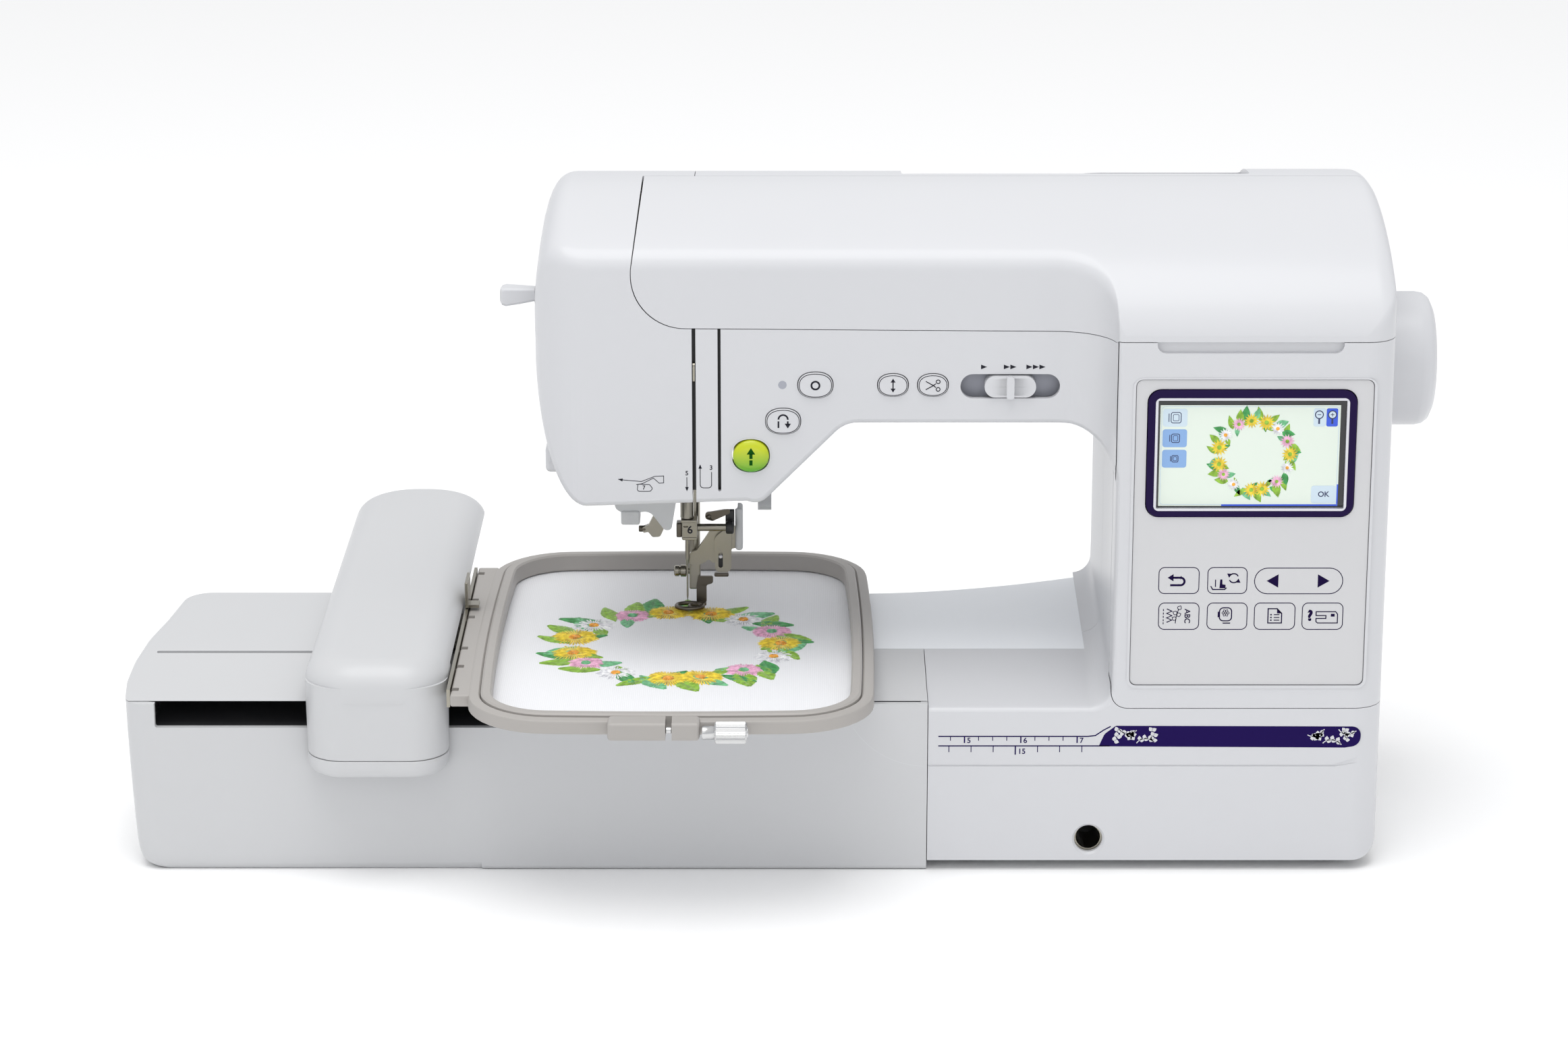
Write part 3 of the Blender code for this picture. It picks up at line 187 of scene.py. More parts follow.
def colour_ramp(tree, low, high):
    """Ramp between two (position, colour) ends."""
    ramp = node_of(tree, "ShaderNodeValToRGB")
    for element, (position, colour) in zip(ramp.color_ramp.elements, (low, high)):
        element.position, element.color = position, colour
    return ramp


def colour_mix(tree, low, high, source, output, shader):
    """Base colour that goes from low to high with the source's output."""
    mix = node_of(tree, "ShaderNodeMix", data_type="RGBA")
    mix.inputs["A"].default_value, mix.inputs["B"].default_value = (*low, 1.0), (*high, 1.0)
    wire(source, output, mix, "Factor")
    wire(mix, "Result", shader, "Base Color")


def grain_of(tree, coordinates, scale, detail):
    node = node_of(tree, "ShaderNodeTexNoise", Scale=scale, Detail=detail)
    wire(coordinates, "Object", node, "Vector")
    return node


def emboss(tree, source, output, shader, strength, distance):
    bump = node_of(tree, "ShaderNodeBump", Strength=strength, Distance=distance)
    wire(source, output, bump, "Height")
    wire(bump, "Normal", shader, "Normal")


def graph_of(material):
    """The material's node tree, its shader and a new source of coordinates."""
    tree = material.node_tree
    return tree, tree.nodes["Principled BSDF"], node_of(tree, "ShaderNodeTexCoord")


def set_shader(material, **values):
    """Constants on the shader's own sockets, whose names are written with underscores."""
    shader = material.node_tree.nodes["Principled BSDF"]
    for name, value in values.items():
        shader.inputs[name.replace("_", " ")].default_value = value


def plain_material(name, colour, roughness, metallic=0.0):
    material = bpy.data.materials.new(name)
    material.use_nodes = True
    set_shader(material, Base_Color=(*colour, 1.0), Roughness=roughness, Metallic=metallic)
    return material


def moulded(name, colour, roughness, grain=0.02, grain_scale=2600.0, tint=0.02, metallic=0.0, coat=0.0,
            emission=0.0, transmission=0.0, specular=0.5):
    """Moulded or plated surface: faint colour drift, uneven gloss and a fine grain."""
    material = plain_material(name, colour, roughness, metallic)
    tree, shader, coordinates = graph_of(material)
    drift = grain_of(tree, coordinates, 9.0, 3.0)
    dark, light = [c * (1 - tint) for c in colour], [min(c * (1 + tint), 1.0) for c in colour]
    colour_mix(tree, dark, light, drift, "Fac", shader)
    gloss = node_of(tree, "ShaderNodeMapRange")
    gloss.inputs["To Min"].default_value = roughness * 0.9
    gloss.inputs["To Max"].default_value = min(roughness * 1.12, 1.0)
    wire(drift, "Fac", gloss, "Value")
    wire(gloss, "Result", shader, "Roughness")
    emboss(tree, grain_of(tree, coordinates, grain_scale, 2.0), "Fac", shader, grain, 0.0001)
    set_shader(material, Coat_Weight=coat, Coat_Roughness=0.12, Specular_IOR_Level=specular,
               Transmission_Weight=transmission)
    if emission:
        set_shader(material, Emission_Color=(*colour, 1.0), Emission_Strength=emission)
    return material


def woven(name, colour):
    """Plain woven cotton: two crossed thread waves for colour and relief, with a soft nap."""
    material = plain_material(name, colour, 0.9)
    tree, shader, coordinates = graph_of(material)
    cross = node_of(tree, "ShaderNodeMath", operation="MULTIPLY")
    for socket, direction in enumerate("XY"):
        wave = node_of(tree, "ShaderNodeTexWave", Scale=360.0, Distortion=0.6)
        wave.bands_direction = direction
        wire(coordinates, "Object", wave, "Vector")
        wire(wave, "Fac", cross, socket)
    colour_mix(tree, [c * 0.9 for c in colour], colour, cross, 0, shader)
    nap = grain_of(tree, coordinates, 700.0, 4.0)
    height = node_of(tree, "ShaderNodeMath", operation="ADD")
    wire(cross, 0, height, 0)
    wire(nap, "Fac", height, 1)
    emboss(tree, height, 0, shader, 0.35, 0.0002)
    set_shader(material, Sheen_Weight=0.25)
    return material


def thread(name, colour):
    """Shiny embroidery thread: colour that drifts from stitch to stitch, with a silky sheen."""
    material = moulded(name, colour, 0.42, grain=0.5, grain_scale=3200.0, tint=0.0)
    tree, shader, coordinates = graph_of(material)
    patch = grain_of(tree, coordinates, 420.0, 2.0)
    dark, light = [c * 0.62 for c in colour], [min(c * 1.25 + 0.02, 1.0) for c in colour]
    ramp = colour_ramp(tree, (0.32, (*dark, 1.0)), (0.66, (*light, 1.0)))
    wire(patch, "Fac", ramp, "Fac")
    wire(ramp, "Color", shader, "Base Color")
    set_shader(material, Sheen_Weight=0.3)
    return material


def glowing_green(name):
    """Lit translucent button: yellow green at the top that deepens towards its lower edge."""
    material = plain_material(name, (0.4, 0.6, 0.02), 0.22)
    tree, shader, coordinates = graph_of(material)
    split = node_of(tree, "ShaderNodeSeparateXYZ")
    wire(coordinates, "Object", split, 0)
    _, v, _, half_v, _ = BUTTONS["start_stop_button"]
    height = node_of(tree, "ShaderNodeMapRange")
    height.inputs["From Min"].default_value = (v - half_v) * MM
    height.inputs["From Max"].default_value = (v + half_v) * MM
    wire(split, "Z", height, "Value")
    ramp = colour_ramp(tree, (0.0, (0.06, 0.34, 0.01, 1.0)), (0.75, (0.50, 0.56, 0.01, 1.0)))
    wire(height, "Result", ramp, "Fac")
    wire(ramp, "Color", shader, "Base Color")
    wire(ramp, "Color", shader, "Emission Color")
    set_shader(material, Emission_Strength=0.08, Coat_Weight=0.2)
    return material


INK = {"tint": 0.1, "specular": 0.05}
GLOW = {"emission": 0.1}
POLISHED = {"metallic": 1.0, "grain": 0.04}
MOULDED = (
    ("body_white", (0.615, 0.62, 0.64), 0.36, {"coat": 0.12}),
    # brighter, bluer copy of body_white: painted light that lifts the bed out of the shade under the arm
    ("bed_white", (0.93, 0.955, 0.985), 0.38, {"coat": 0.1}),
    ("unit_white", (0.57, 0.575, 0.585), 0.38, {"coat": 0.1}),
    ("panel_grey", (0.605, 0.605, 0.615), 0.5, {"grain": 0.05, "specular": 0.35}),
    ("light_grey", (0.60, 0.61, 0.62), 0.4, {"grain": 0.05}),
    ("slate", (0.36, 0.37, 0.42), 0.5, {"tint": 0.05}),
    ("hoop_beige", (0.395, 0.375, 0.355), 0.45, {"grain": 0.05, "tint": 0.03}),
    ("navy_trim", (0.012, 0.004, 0.045), 0.5, {"tint": 0.1, "specular": 0.12}),
    ("navy_ink", (0.014, 0.006, 0.075), 0.6, INK),
    ("key_ink", (0.010, 0.004, 0.040), 0.6, INK),
    ("dark_ink", (0.025, 0.025, 0.033), 0.6, INK),
    ("green_ink", (0.005, 0.07, 0.005), 0.6, INK),
    ("screen_black", (0.006, 0.006, 0.008), 0.12, {"coat": 0.5}),
    ("screen_pale", (0.70, 0.77, 0.69), 0.3, {"specular": 0.2, **GLOW}),
    ("screen_blue", (0.22, 0.38, 0.66), 0.2, GLOW),
    ("screen_light", (0.55, 0.66, 0.74), 0.2, GLOW),
    ("screen_deep", (0.03, 0.09, 0.62), 0.2, GLOW),
    ("screen_ink", (0.02, 0.03, 0.10), 0.3, {}),
    ("bright_steel", (0.62, 0.62, 0.62), 0.22, POLISHED),
    ("steel", (0.34, 0.32, 0.27), 0.26, {"tint": 0.10, **POLISHED}),
    ("dark_steel", (0.13, 0.115, 0.095), 0.30, {"metallic": 1.0, "tint": 0.15, "grain": 0.05}),
    ("silver_trim", (0.66, 0.66, 0.70), 0.25, {"metallic": 0.7}),
    ("cast_alloy", (0.45, 0.46, 0.47), 0.5, {"metallic": 1.0, "grain": 0.3, "grain_scale": 900.0}),
    ("black_plastic", (0.02, 0.02, 0.022), 0.42, {"grain": 0.1, "tint": 0.1}),
    ("rubber_black", (0.03, 0.03, 0.03), 0.8, {"grain": 0.4, "grain_scale": 1500.0, "tint": 0.15}),
    ("clear_plastic", (0.85, 0.88, 0.90), 0.12, {"transmission": 0.85, "tint": 0.01}),
    ("board_green", (0.02, 0.20, 0.07), 0.4, {"tint": 0.2, "grain": 0.3, "grain_scale": 900.0}),
    ("lamp_glow", (0.95, 0.96, 1.0), 0.3, {"emission": 0.8}),
)
THREADS = (
    ("leaf_green", (0.24, 0.46, 0.02)), ("deep_green", (0.03, 0.30, 0.06)),
    ("mint_green", (0.14, 0.48, 0.22)), ("petal_yellow", (0.86, 0.60, 0.02)),
    ("petal_orange", (0.88, 0.36, 0.02)), ("petal_pink", (0.86, 0.42, 0.60)),
    ("petal_white", (0.86, 0.86, 0.93)),
)
MATERIALS = {name: moulded(name, colour, roughness, **more) for name, colour, roughness, more in MOULDED}
MATERIALS |= {name: thread(name, colour) for name, colour in THREADS}
MATERIALS["start_green"] = glowing_green("start_green")
MATERIALS["cloth_white"] = woven("cloth_white", (0.90, 0.905, 0.93))


def paint(obj, material):
    """Give the whole piece one material, in place of what its boolean tools left."""
    obj.data.materials.clear()
    obj.data.materials.append(MATERIALS[material])
    return obj


# ---------------------------------------------------------------- mesh helpers

def as_object(name, material, bm, angle=32.0, weld=0.002):
    """Write a bmesh that is in machine millimetres to an object in world metres."""
    bmesh.ops.remove_doubles(bm, verts=bm.verts, dist=weld)
    bmesh.ops.recalc_face_normals(bm, faces=bm.faces)
    to_world = Matrix.Diagonal((MM, MM, MM, 1.0)) @ Matrix.Translation(-ORIGIN)
    bmesh.ops.transform(bm, matrix=to_world, verts=bm.verts)
    mesh = bpy.data.meshes.new(name)
    bm.to_mesh(mesh)
    bm.free()
    if material:
        mesh.materials.append(MATERIALS[material])
    return soften(add_to_scene(name, mesh), angle)


def soften(obj, angle=32.0):
    obj.data.shade_smooth()
    obj.data.set_sharp_from_angle(angle=math.radians(angle))
    return obj


def evaluated_mesh(obj):
    depsgraph = bpy.context.evaluated_depsgraph_get()
    return bpy.data.meshes.new_from_object(obj.evaluated_get(depsgraph))


def apply_modifiers(obj):
    mesh = evaluated_mesh(obj)
    obj.modifiers.clear()
    obj.data = mesh
    return obj


def mesh_of_curve(curve):
    """Mesh of an outline or a text; the curve's object is removed again."""
    guide = add_to_scene("outline", curve)
    mesh = evaluated_mesh(guide)
    bpy.data.objects.remove(guide)
    return mesh


def combine(target, tool, operation):
    """Boolean of target with a tool, which is used up."""
    modifier = target.modifiers.new(operation, "BOOLEAN")
    modifier.object, modifier.operation, modifier.solver = tool, operation, "MANIFOLD"
    apply_modifiers(target)
    bpy.data.objects.remove(tool)
    return target


def cut(target, *tools):
    for tool in tools:
        combine(target, tool, "DIFFERENCE")
    return target


def join(target, *tools):
    for tool in tools:
        combine(target, tool, "UNION")
    return target


def copy_of(obj, name):
    return add_to_scene(name, obj.data.copy())


def bevelled(obj, width, segments=2, angle=35.0):
    modifier = obj.modifiers.new("edge", "BEVEL")
    modifier.width, modifier.segments = width * MM, segments
    modifier.limit_method, modifier.angle_limit = "ANGLE", math.radians(angle)
    modifier.use_clamp_overlap = True
    apply_modifiers(obj)
    return weighted(obj)


def weighted(obj, angle=32.0):
    """Smooth shading whose normals follow the larger faces, with sharp edges kept."""
    soften(obj, angle)
    modifier = obj.modifiers.new("normals", "WEIGHTED_NORMAL")
    modifier.keep_sharp = True
    return apply_modifiers(obj)


def block(name, material, x0, x1, y0, y1, z0, z1, bevel=0.0):
    bm = bmesh.new()
    bmesh.ops.create_cube(bm, size=1.0)
    size = Matrix.Diagonal((x1 - x0, y1 - y0, z1 - z0, 1.0))
    middle = Matrix.Translation(((x0 + x1) / 2, (y0 + y1) / 2, (z0 + z1) / 2))
    bmesh.ops.transform(bm, matrix=middle @ size, verts=bm.verts)
    if bevel:
        bmesh.ops.bevel(bm, geom=bm.edges, offset=bevel, segments=3, profile=0.5, affect="EDGES")
    return as_object(name, material, bm)


AXIS_FRAMES = {
    "X": Matrix(((0, 0, 1, 0), (1, 0, 0, 0), (0, 1, 0, 0), (0, 0, 0, 1))),
    "Y": Matrix(((1, 0, 0, 0), (0, 0, 1, 0), (0, 1, 0, 0), (0, 0, 0, 1))),
    "Z": Matrix.Identity(4),
}


def flat_mesh(outline, holes, depth):
    curve = bpy.data.curves.new("outline", "CURVE")
    curve.dimensions, curve.fill_mode, curve.extrude = "2D", "BOTH", depth / 2
    for loop in (outline, *holes):
        spline = curve.splines.new("POLY")
        spline.points.add(len(loop) - 1)
        spline.use_cyclic_u = True
        for point, (u, v) in zip(spline.points, loop):
            point.co = (u, v, 0.0, 1.0)
    return mesh_of_curve(curve)


def prism(name, material, axis, outline, low, high, holes=(), bevel=0.0):
    """A flat outline, with holes, extruded along an axis from low to high."""
    bm = bmesh.new()
    bm.from_mesh(flat_mesh(outline, holes, high - low))
    bmesh.ops.remove_doubles(bm, verts=bm.verts, dist=0.002)
    lift = Matrix.Translation((0.0, 0.0, (low + high) / 2))
    bmesh.ops.transform(bm, matrix=AXIS_FRAMES[axis] @ lift, verts=bm.verts)
    obj = as_object(name, material, bm)
    return bevelled(obj, bevel, 3) if bevel else obj


def turned(name, material, axis, centre, profile, steps=64):
    """A profile of (radius, height) points turned about an axis through centre."""
    bm = bmesh.new()
    rows = []
    for k in range(steps):
        angle = 2 * math.pi * k / steps
        rows.append([bm.verts.new((r * math.cos(angle), r * math.sin(angle), h)) for r, h in profile])
    closed = profile[0][0] > 0.0 and profile[-1][0] > 0.0
    count = len(profile)
    for k in range(steps):
        a, b = rows[k], rows[(k + 1) % steps]
        for i in range(count if closed else count - 1):
            j = (i + 1) % count
            bm.faces.new((a[i], a[j], b[j], b[i]))
    bmesh.ops.remove_doubles(bm, verts=bm.verts, dist=0.0005)
    bmesh.ops.dissolve_degenerate(bm, edges=bm.edges, dist=0.0001)
    lift = Matrix.Translation((centre[0], centre[1], 0.0))
    bmesh.ops.transform(bm, matrix=AXIS_FRAMES[axis] @ lift, verts=bm.verts)
    return as_object(name, material, bm)


def rod(name, material, axis, centre, radius, low, high, chamfer=0.3, steps=32):
    c = min(chamfer, radius * 0.5)
    profile = [(0.0, low), (radius - c, low), (radius, low + c),
               (radius, high - c), (radius - c, high), (0.0, high)]
    return turned(name, material, axis, centre, profile, steps)


def loft(name, material, rings, caps=True):
    """A closed skin over rings of equally many points."""
    bm = bmesh.new()
    rows = [[bm.verts.new(point) for point in ring] for ring in rings]
    count = len(rows[0])
    for row, following in zip(rows, rows[1:] + ([] if caps else rows[:1])):
        for i in range(count):
            j = (i + 1) % count
            bm.faces.new((row[i], row[j], following[j], following[i]))
    if caps:
        bm.faces.new(rows[0])
        bm.faces.new(list(reversed(rows[-1])))
    return as_object(name, material, bm, weld=0.0004)


block_tool, prism_tool, rod_tool = (partial(make, "tool", None) for make in (block, prism, rod))


# ---------------------------------------------------------------- outlines

def rounded(corners, steps=12):
    """Outline from (u, v, radius) corners, each corner turned into an arc."""
    points = []
    count = len(corners)
    for i, (u, v, radius) in enumerate(corners):
        here = Vector((u, v))
        if radius <= 0.0:
            points.append((u, v))
            continue
        back = (Vector(corners[i - 1][:2]) - here).normalized()
        ahead = (Vector(corners[(i + 1) % count][:2]) - here).normalized()
        half = back.angle(ahead) / 2
        centre = here + (back + ahead).normalized() * (radius / math.sin(half))
        start = here + back * (radius / math.tan(half)) - centre
        turn = start.angle_signed(here + ahead * (radius / math.tan(half)) - centre)
        for k in range(steps + 1):
            angle = -turn * k / steps
            c, s = math.cos(angle), math.sin(angle)
            points.append((centre.x + start.x * c - start.y * s, centre.y + start.x * s + start.y * c))
    return points


def rectangle(x0, x1, y0, y1, radius=0.0, steps=8):
    return rounded([(x0, y0, radius), (x1, y0, radius), (x1, y1, radius), (x0, y1, radius)], steps)


def oval(u, v, half_u, half_v, points=64, power=2.3):
    loop = []
    for k in range(points):
        angle = 2 * math.pi * k / points
        c, s = math.cos(angle), math.sin(angle)
        loop.append((u + half_u * math.copysign(abs(c) ** (2 / power), c),
                     v + half_v * math.copysign(abs(s) ** (2 / power), s)))
    return loop


def dense(points, step):
    """The same closed outline with extra points along its long edges."""
    result = []
    for (u0, v0), (u1, v1) in zip(points, points[1:] + points[:1]):
        pieces = max(1, math.ceil(math.hypot(u1 - u0, v1 - v0) / step))
        result += [(u0 + (u1 - u0) * k / pieces, v0 + (v1 - v0) * k / pieces) for k in range(pieces)]
    return result


def offset(points, amount):
    """A closed counter-clockwise outline moved outward by amount(u, v) along its normals."""
    result = []
    count = len(points)
    for i, (u, v) in enumerate(points):
        (u0, v0), (u1, v1) = points[i - 1], points[(i + 1) % count]
        tangent = Vector((u1 - u0, v1 - v0)).normalized()
        grow = amount(u, v)
        result.append((u + tangent.y * grow, v - tangent.x * grow))
    return result


def stroke(points, width, closed=False):
    """Loops of a line of even width: one loop round an open line, two for a closed one."""
    left, right = [], []
    count = len(points)
    for i, (u, v) in enumerate(points):
        back = points[i - 1] if closed or i else None
        ahead = points[(i + 1) % count] if closed or i < count - 1 else None
        first = (Vector((u, v)) - Vector(back)).normalized() if back else None
        second = (Vector(ahead) - Vector((u, v))).normalized() if ahead else first
        first = second if first is None else first
        normal = Vector((first.y + second.y, -first.x - second.x))
        normal = Vector((first.y, -first.x)) if normal.length < 0.1 else normal.normalized()
        reach = width / 2 / max(normal.dot(Vector((first.y, -first.x))), 0.5)
        left.append((u + normal.x * reach, v + normal.y * reach))
        right.append((u - normal.x * reach, v - normal.y * reach))
    return [left, right] if closed else [left + right[::-1]]


def arc(u, v, radius, start, end, steps=14):
    angles = [math.radians(start + (end - start) * k / steps) for k in range(steps + 1)]
    return [(u + radius * math.cos(a), v + radius * math.sin(a)) for a in angles]


def disc(u, v, radius, steps=24):
    return [arc(u, v, radius, 0.0, 360.0, steps)[:-1]]


def outline_of(points, width):
    return stroke(points, width, closed=True)


def arrowhead(u, v, length, half, direction):
    """Triangle whose tip is at (u, v) and points along direction in degrees."""
    c, s = math.cos(math.radians(direction)), math.sin(math.radians(direction))
    return [[(u, v), (u - length * c - half * s, v - length * s + half * c),
             (u - length * c + half * s, v - length * s - half * c)]]


def letters(text, size, u, v, turn=0.0, weight=0.018):
    """Generic figures or letters centred on (u, v), as a flat mesh of unit depth."""
    curve = bpy.data.curves.new("letters", "FONT")
    curve.body, curve.size, curve.extrude = text, size, 0.5
    curve.align_x, curve.align_y = "CENTER", "CENTER"
    curve.offset = size * weight
    mesh = mesh_of_curve(curve)
    mesh.transform(Matrix.Translation((u, v, 0.0)) @ Matrix.Rotation(math.radians(turn), 4, "Z"))
    return mesh


def marks(name, material, shapes, surface, relief=0.06, body="machine", texts=(), slot="body_white"):
    """Prints that stand a little proud of a surface facing forward; each shape is its outline and holes."""
    bm = bmesh.new()
    depth = relief + PRINT_ROOT
    for mesh in texts:
        mesh.transform(Matrix.Diagonal((1.0, 1.0, depth, 1.0)))
    for mesh in (*[flat_mesh(outline, holes, depth) for outline, *holes in shapes], *texts):
        bm.from_mesh(mesh)
        bpy.data.meshes.remove(mesh)
    lift = Matrix.Translation((0.0, 0.0, surface - (relief - depth / 2)))
    bmesh.ops.transform(bm, matrix=AXIS_FRAMES["Y"] @ lift, verts=bm.verts)
    return place(as_object(name, material, bm), body, slot=slot)


# ---------------------------------------------------------------- casing surfaces

def ease(t):
    """Smooth step from 0 to 1."""
    t = min(max(t, 0.0), 1.0)
    return t * t * (3 - 2 * t)


def arc_drop(t):
    """How far a quarter of a circle has fallen away at t, from 0 to 1."""
    t = min(max(t, 0.0), 1.0)
    return 1.0 - math.sqrt(1.0 - t * t)


def casing_front(x, inset=0.0):
    """Front face: arm, hollow fillet up to the column's rounded front left edge, and the two ends."""
    y = ARM_FRONT * (1 - arc_drop((x - EDGE_X + ARM_FILLET) / (ARM_FILLET + inset)))
    if x > EDGE_X - EDGE_MARGIN + inset:
        y = EDGE_ROUND * arc_drop((EDGE_X + EDGE_ROUND + inset - x) / EDGE_ROUND)
    y += HEAD_ROUND * arc_drop((HEAD_LEFT + HEAD_ROUND - x) / HEAD_ROUND)
    return y + COLUMN_ROUND * arc_drop((x - COLUMN_RIGHT + COLUMN_ROUND) / COLUMN_ROUND) + inset


def casing_rear(x):
    y = ARM_REAR + (COLUMN_REAR - ARM_REAR) * ease((x - COLUMN_START) / (WALL_X - COLUMN_START))
    y -= HEAD_ROUND_REAR * arc_drop((HEAD_LEFT + HEAD_ROUND_REAR - x) / HEAD_ROUND_REAR)
    return y - COLUMN_ROUND * arc_drop((x - COLUMN_RIGHT + COLUMN_ROUND) / COLUMN_ROUND)


def end_scale(x):
    """How far the crown is let down towards the two ends."""
    if x < -94.0:
        return (1 - min((-94.0 - x) / 18.0, 0.994) ** 2.9) ** (1 / 2.9)
    return 1 - (10.0 / (TOP - SHOULDER)) * arc_drop((x - COLUMN_RIGHT + 8.0) / 8.0)


def casing_ring(x, bottom, inset, steps=22, soft=8):
    """Cross-section of the arm or column at x, drawn in by inset, its crown's lower edge softened."""
    front, rear = casing_front(x, inset), casing_rear(x) - inset
    half_front, height = CROWN_Y - inset, TOP - LID_EDGE - inset
    half_rear, rear_height = rear - CROWN_Y, TOP - inset - REAR_SHOULDER

    def crown(angle):
        return Vector((CROWN_Y - half_front * abs(math.cos(angle)) ** (2 / CROWN_POWER),
                       LID_EDGE + height * math.sin(angle) ** (2 / CROWN_POWER)))

    start = math.acos(min(((CROWN_Y - front) / half_front) ** (CROWN_POWER / 2), 1.0))
    crease, after = crown(start), start + 0.085
    lead = crease - Vector((0.0, 6.0))
    points = [(rear, bottom), (front, bottom)]
    for k in range(soft + 1):
        t = k / soft
        points.append(tuple(lead * (1 - t) ** 2 + crease * 2 * t * (1 - t) + crown(after) * t * t))
    for k in range(1, steps + 1):
        points.append(tuple(crown(after + (math.pi / 2 - after) * k / steps)))
    for k in range(1, steps + 1):
        angle = math.pi / 2 * (1 - k / steps)
        y = CROWN_Y + half_rear * math.cos(angle) ** (2 / REAR_POWER)
        points.append((y, REAR_SHOULDER + rear_height * math.sin(angle) ** (2 / REAR_POWER)))
    scale = end_scale(x)
    return [(x, y, z if z < SHOULDER else SHOULDER + (z - SHOULDER) * scale) for y, z in points]


def curved_stations(start, reach, count, sign):
    return [start + sign * reach * math.sin(math.pi / 2 * k / count) for k in range(count)]


def casing_block(inset, fine):
    """Arm, head and column as one skin over cross-sections from left to right."""
    count, steps = (16, 22) if fine else (5, 6)
    left, right, step = HEAD_LEFT + 0.1 + inset, COLUMN_RIGHT - inset, WALL_X + 0.5 + inset
    heads = [left] + sorted(x for x in curved_stations(-88.0, 24.0, count, -1) if x > left + 0.2)
    heads += [-60.0, 0.0, 60.0, COLUMN_START]
    heads += curved_stations(EDGE_X - ARM_FILLET, ARM_FILLET + inset, 20 if fine else 7, 1)
    if fine:
        heads += [x for x, _ in column_edge()[:-1]]
    rings = [casing_ring(x, 120.0, inset, steps) for x in heads + [step]]
    tails = [step + 0.1, 200.0] + [x for x in curved_stations(256.0, 14.0, count, 1) if x < right - 0.1]
    for x in tails + [right]:
        foot = 9.0 * arc_drop((x - 259.0) / 11.0)
        low = CASE_BOTTOM - 5.0 if inset else CASE_BOTTOM + foot
        rings.append(casing_ring(x, low, inset, steps))
    return loft("casing", "body_white", rings)


def column_edge(count=8):
    """Plan of the rounded front left edge of the column, from the arm side to the front."""
    turns = [math.pi / 2 * k / count for k in range(count + 1)]
    return [(EDGE_X + EDGE_ROUND * (1 - math.cos(turn)), EDGE_ROUND * (1 - math.sin(turn))) for turn in turns]


def throat_outline(inset=0.0, step=4.0):
    """Everything under the arm in front view: left of the head, below it, and the throat."""
    wall, under, lean = WALL_X + inset, ARM_UNDER + inset, 0.4 * inset
    corners = [(-170.0, SHOULDER, 0.0), (-170.0, BED - inset, 0.0), (wall, BED - inset, 9.0 + inset),
               (wall, under, 22.0 + inset), (27.4 - lean, under, 14.0),
               (-11.5 - lean, HEAD_UNDER + inset, 8.0)]
    points = rounded(corners, 12)
    for k in range(25):
        angle = math.pi / 2 * (1 - k / 24)
        points.append((-89.0 - (23.3 - inset) * math.cos(angle),
                       SHOULDER - (SHOULDER - HEAD_UNDER - inset) * math.sin(angle)))
    return dense(points, step)


def flared_throat():
    """Cutter for the throat whose mouth widens at the front and rear, which rounds those edges."""
    base = throat_outline()

    def radius(x, z):
        return (2.8 - 0.4 * ease((x - 118.0) / 26.0)) * ease((z - 92.0) / 12.0)

    rings = []
    angles = [math.radians(12.0 + 78.0 * k / 6) for k in range(7)]
    for surface, side, far, draft in ((casing_front, 1.0, FAR_FRONT, WALL_X - EDGE_X),
                                      (casing_rear, -1.0, FAR_REAR, 0.0)):
        part = []
        for angle in angles:
            loop = offset(base, lambda u, v: radius(u, v) * (1 - math.sin(angle)))
            loop = [(u - draft * ease((u - 100.0) / 40.0), v) for u, v in loop]
            part.append([(u, surface(u) + side * radius(u, v) * (1 - math.cos(angle)), v) for u, v in loop])
        part.insert(0, [(u, far, v) for u, _, v in part[0]])
        rings += part if side > 0 else part[::-1]
    return loft("throat", None, rings)


def arm_clearance():
    """What stands in front of the arm once the base block has been added."""
    face = [(x, casing_front(x)) for x in curved_stations(EDGE_X - ARM_FILLET, ARM_FILLET + 0.1, 24, 1)]
    face += column_edge()[1:]
    left, right = SEAM_X - 5.0, WALL_X + 5.0
    outline = [(left, -5.001), (right, -5.001), (right, 0.0), *reversed(face), (left, ARM_FRONT)]
    return prism("clearance", None, "Z", outline, 150.0, 210.0)


def bed_cutter():
    """What is above the bed and its sloping front lip, with a hollow fillet up the column's wall."""
    rings = []
    left, high = -170.0, 130.0
    for y, z, x in ((FAR_FRONT, 75.4, EDGE_X + 2.4), (0.0, 75.4, EDGE_X + 2.4), (0.3, 76.2, EDGE_X + 1.5),
                    (0.9, 77.0, EDGE_X + 0.8), (1.9, 77.7, EDGE_X + 0.3), (4.0, 78.2, EDGE_X),
                    (10.0, 79.0, EDGE_X), (BED_FRONT, BED, EDGE_X + 1.0),
                    (BED_FRONT + 0.5, BED, EDGE_X + 1.0), (FAR_REAR, BED, WALL_X)):
        corners = [(left, z, 0.0), (x, z, 10.0), (x, high, 0.0), (left, high, 0.0)]
        rings.append([(u, y, v) for u, v in rounded(corners, 14)])
    return loft("bed_cutter", None, rings)


def lid_outline(grow):
    """Edge of the lid in front view, from the right end to the head, up and back."""
    edge = LID_EDGE - grow
    return rounded([(300.0, edge, 0.0), (147.3, edge, 0.0), (146.3, 245.8 - grow, 0.0), (-44.0, edge, 0.0),
                    (-68.5 - grow, edge, 24.0), (-68.0 - grow, 274.0, 0.0), (-61.5 - 3 * grow, 320.0, 0.0),
                    (300.0, 320.0, 0.0)], 16)


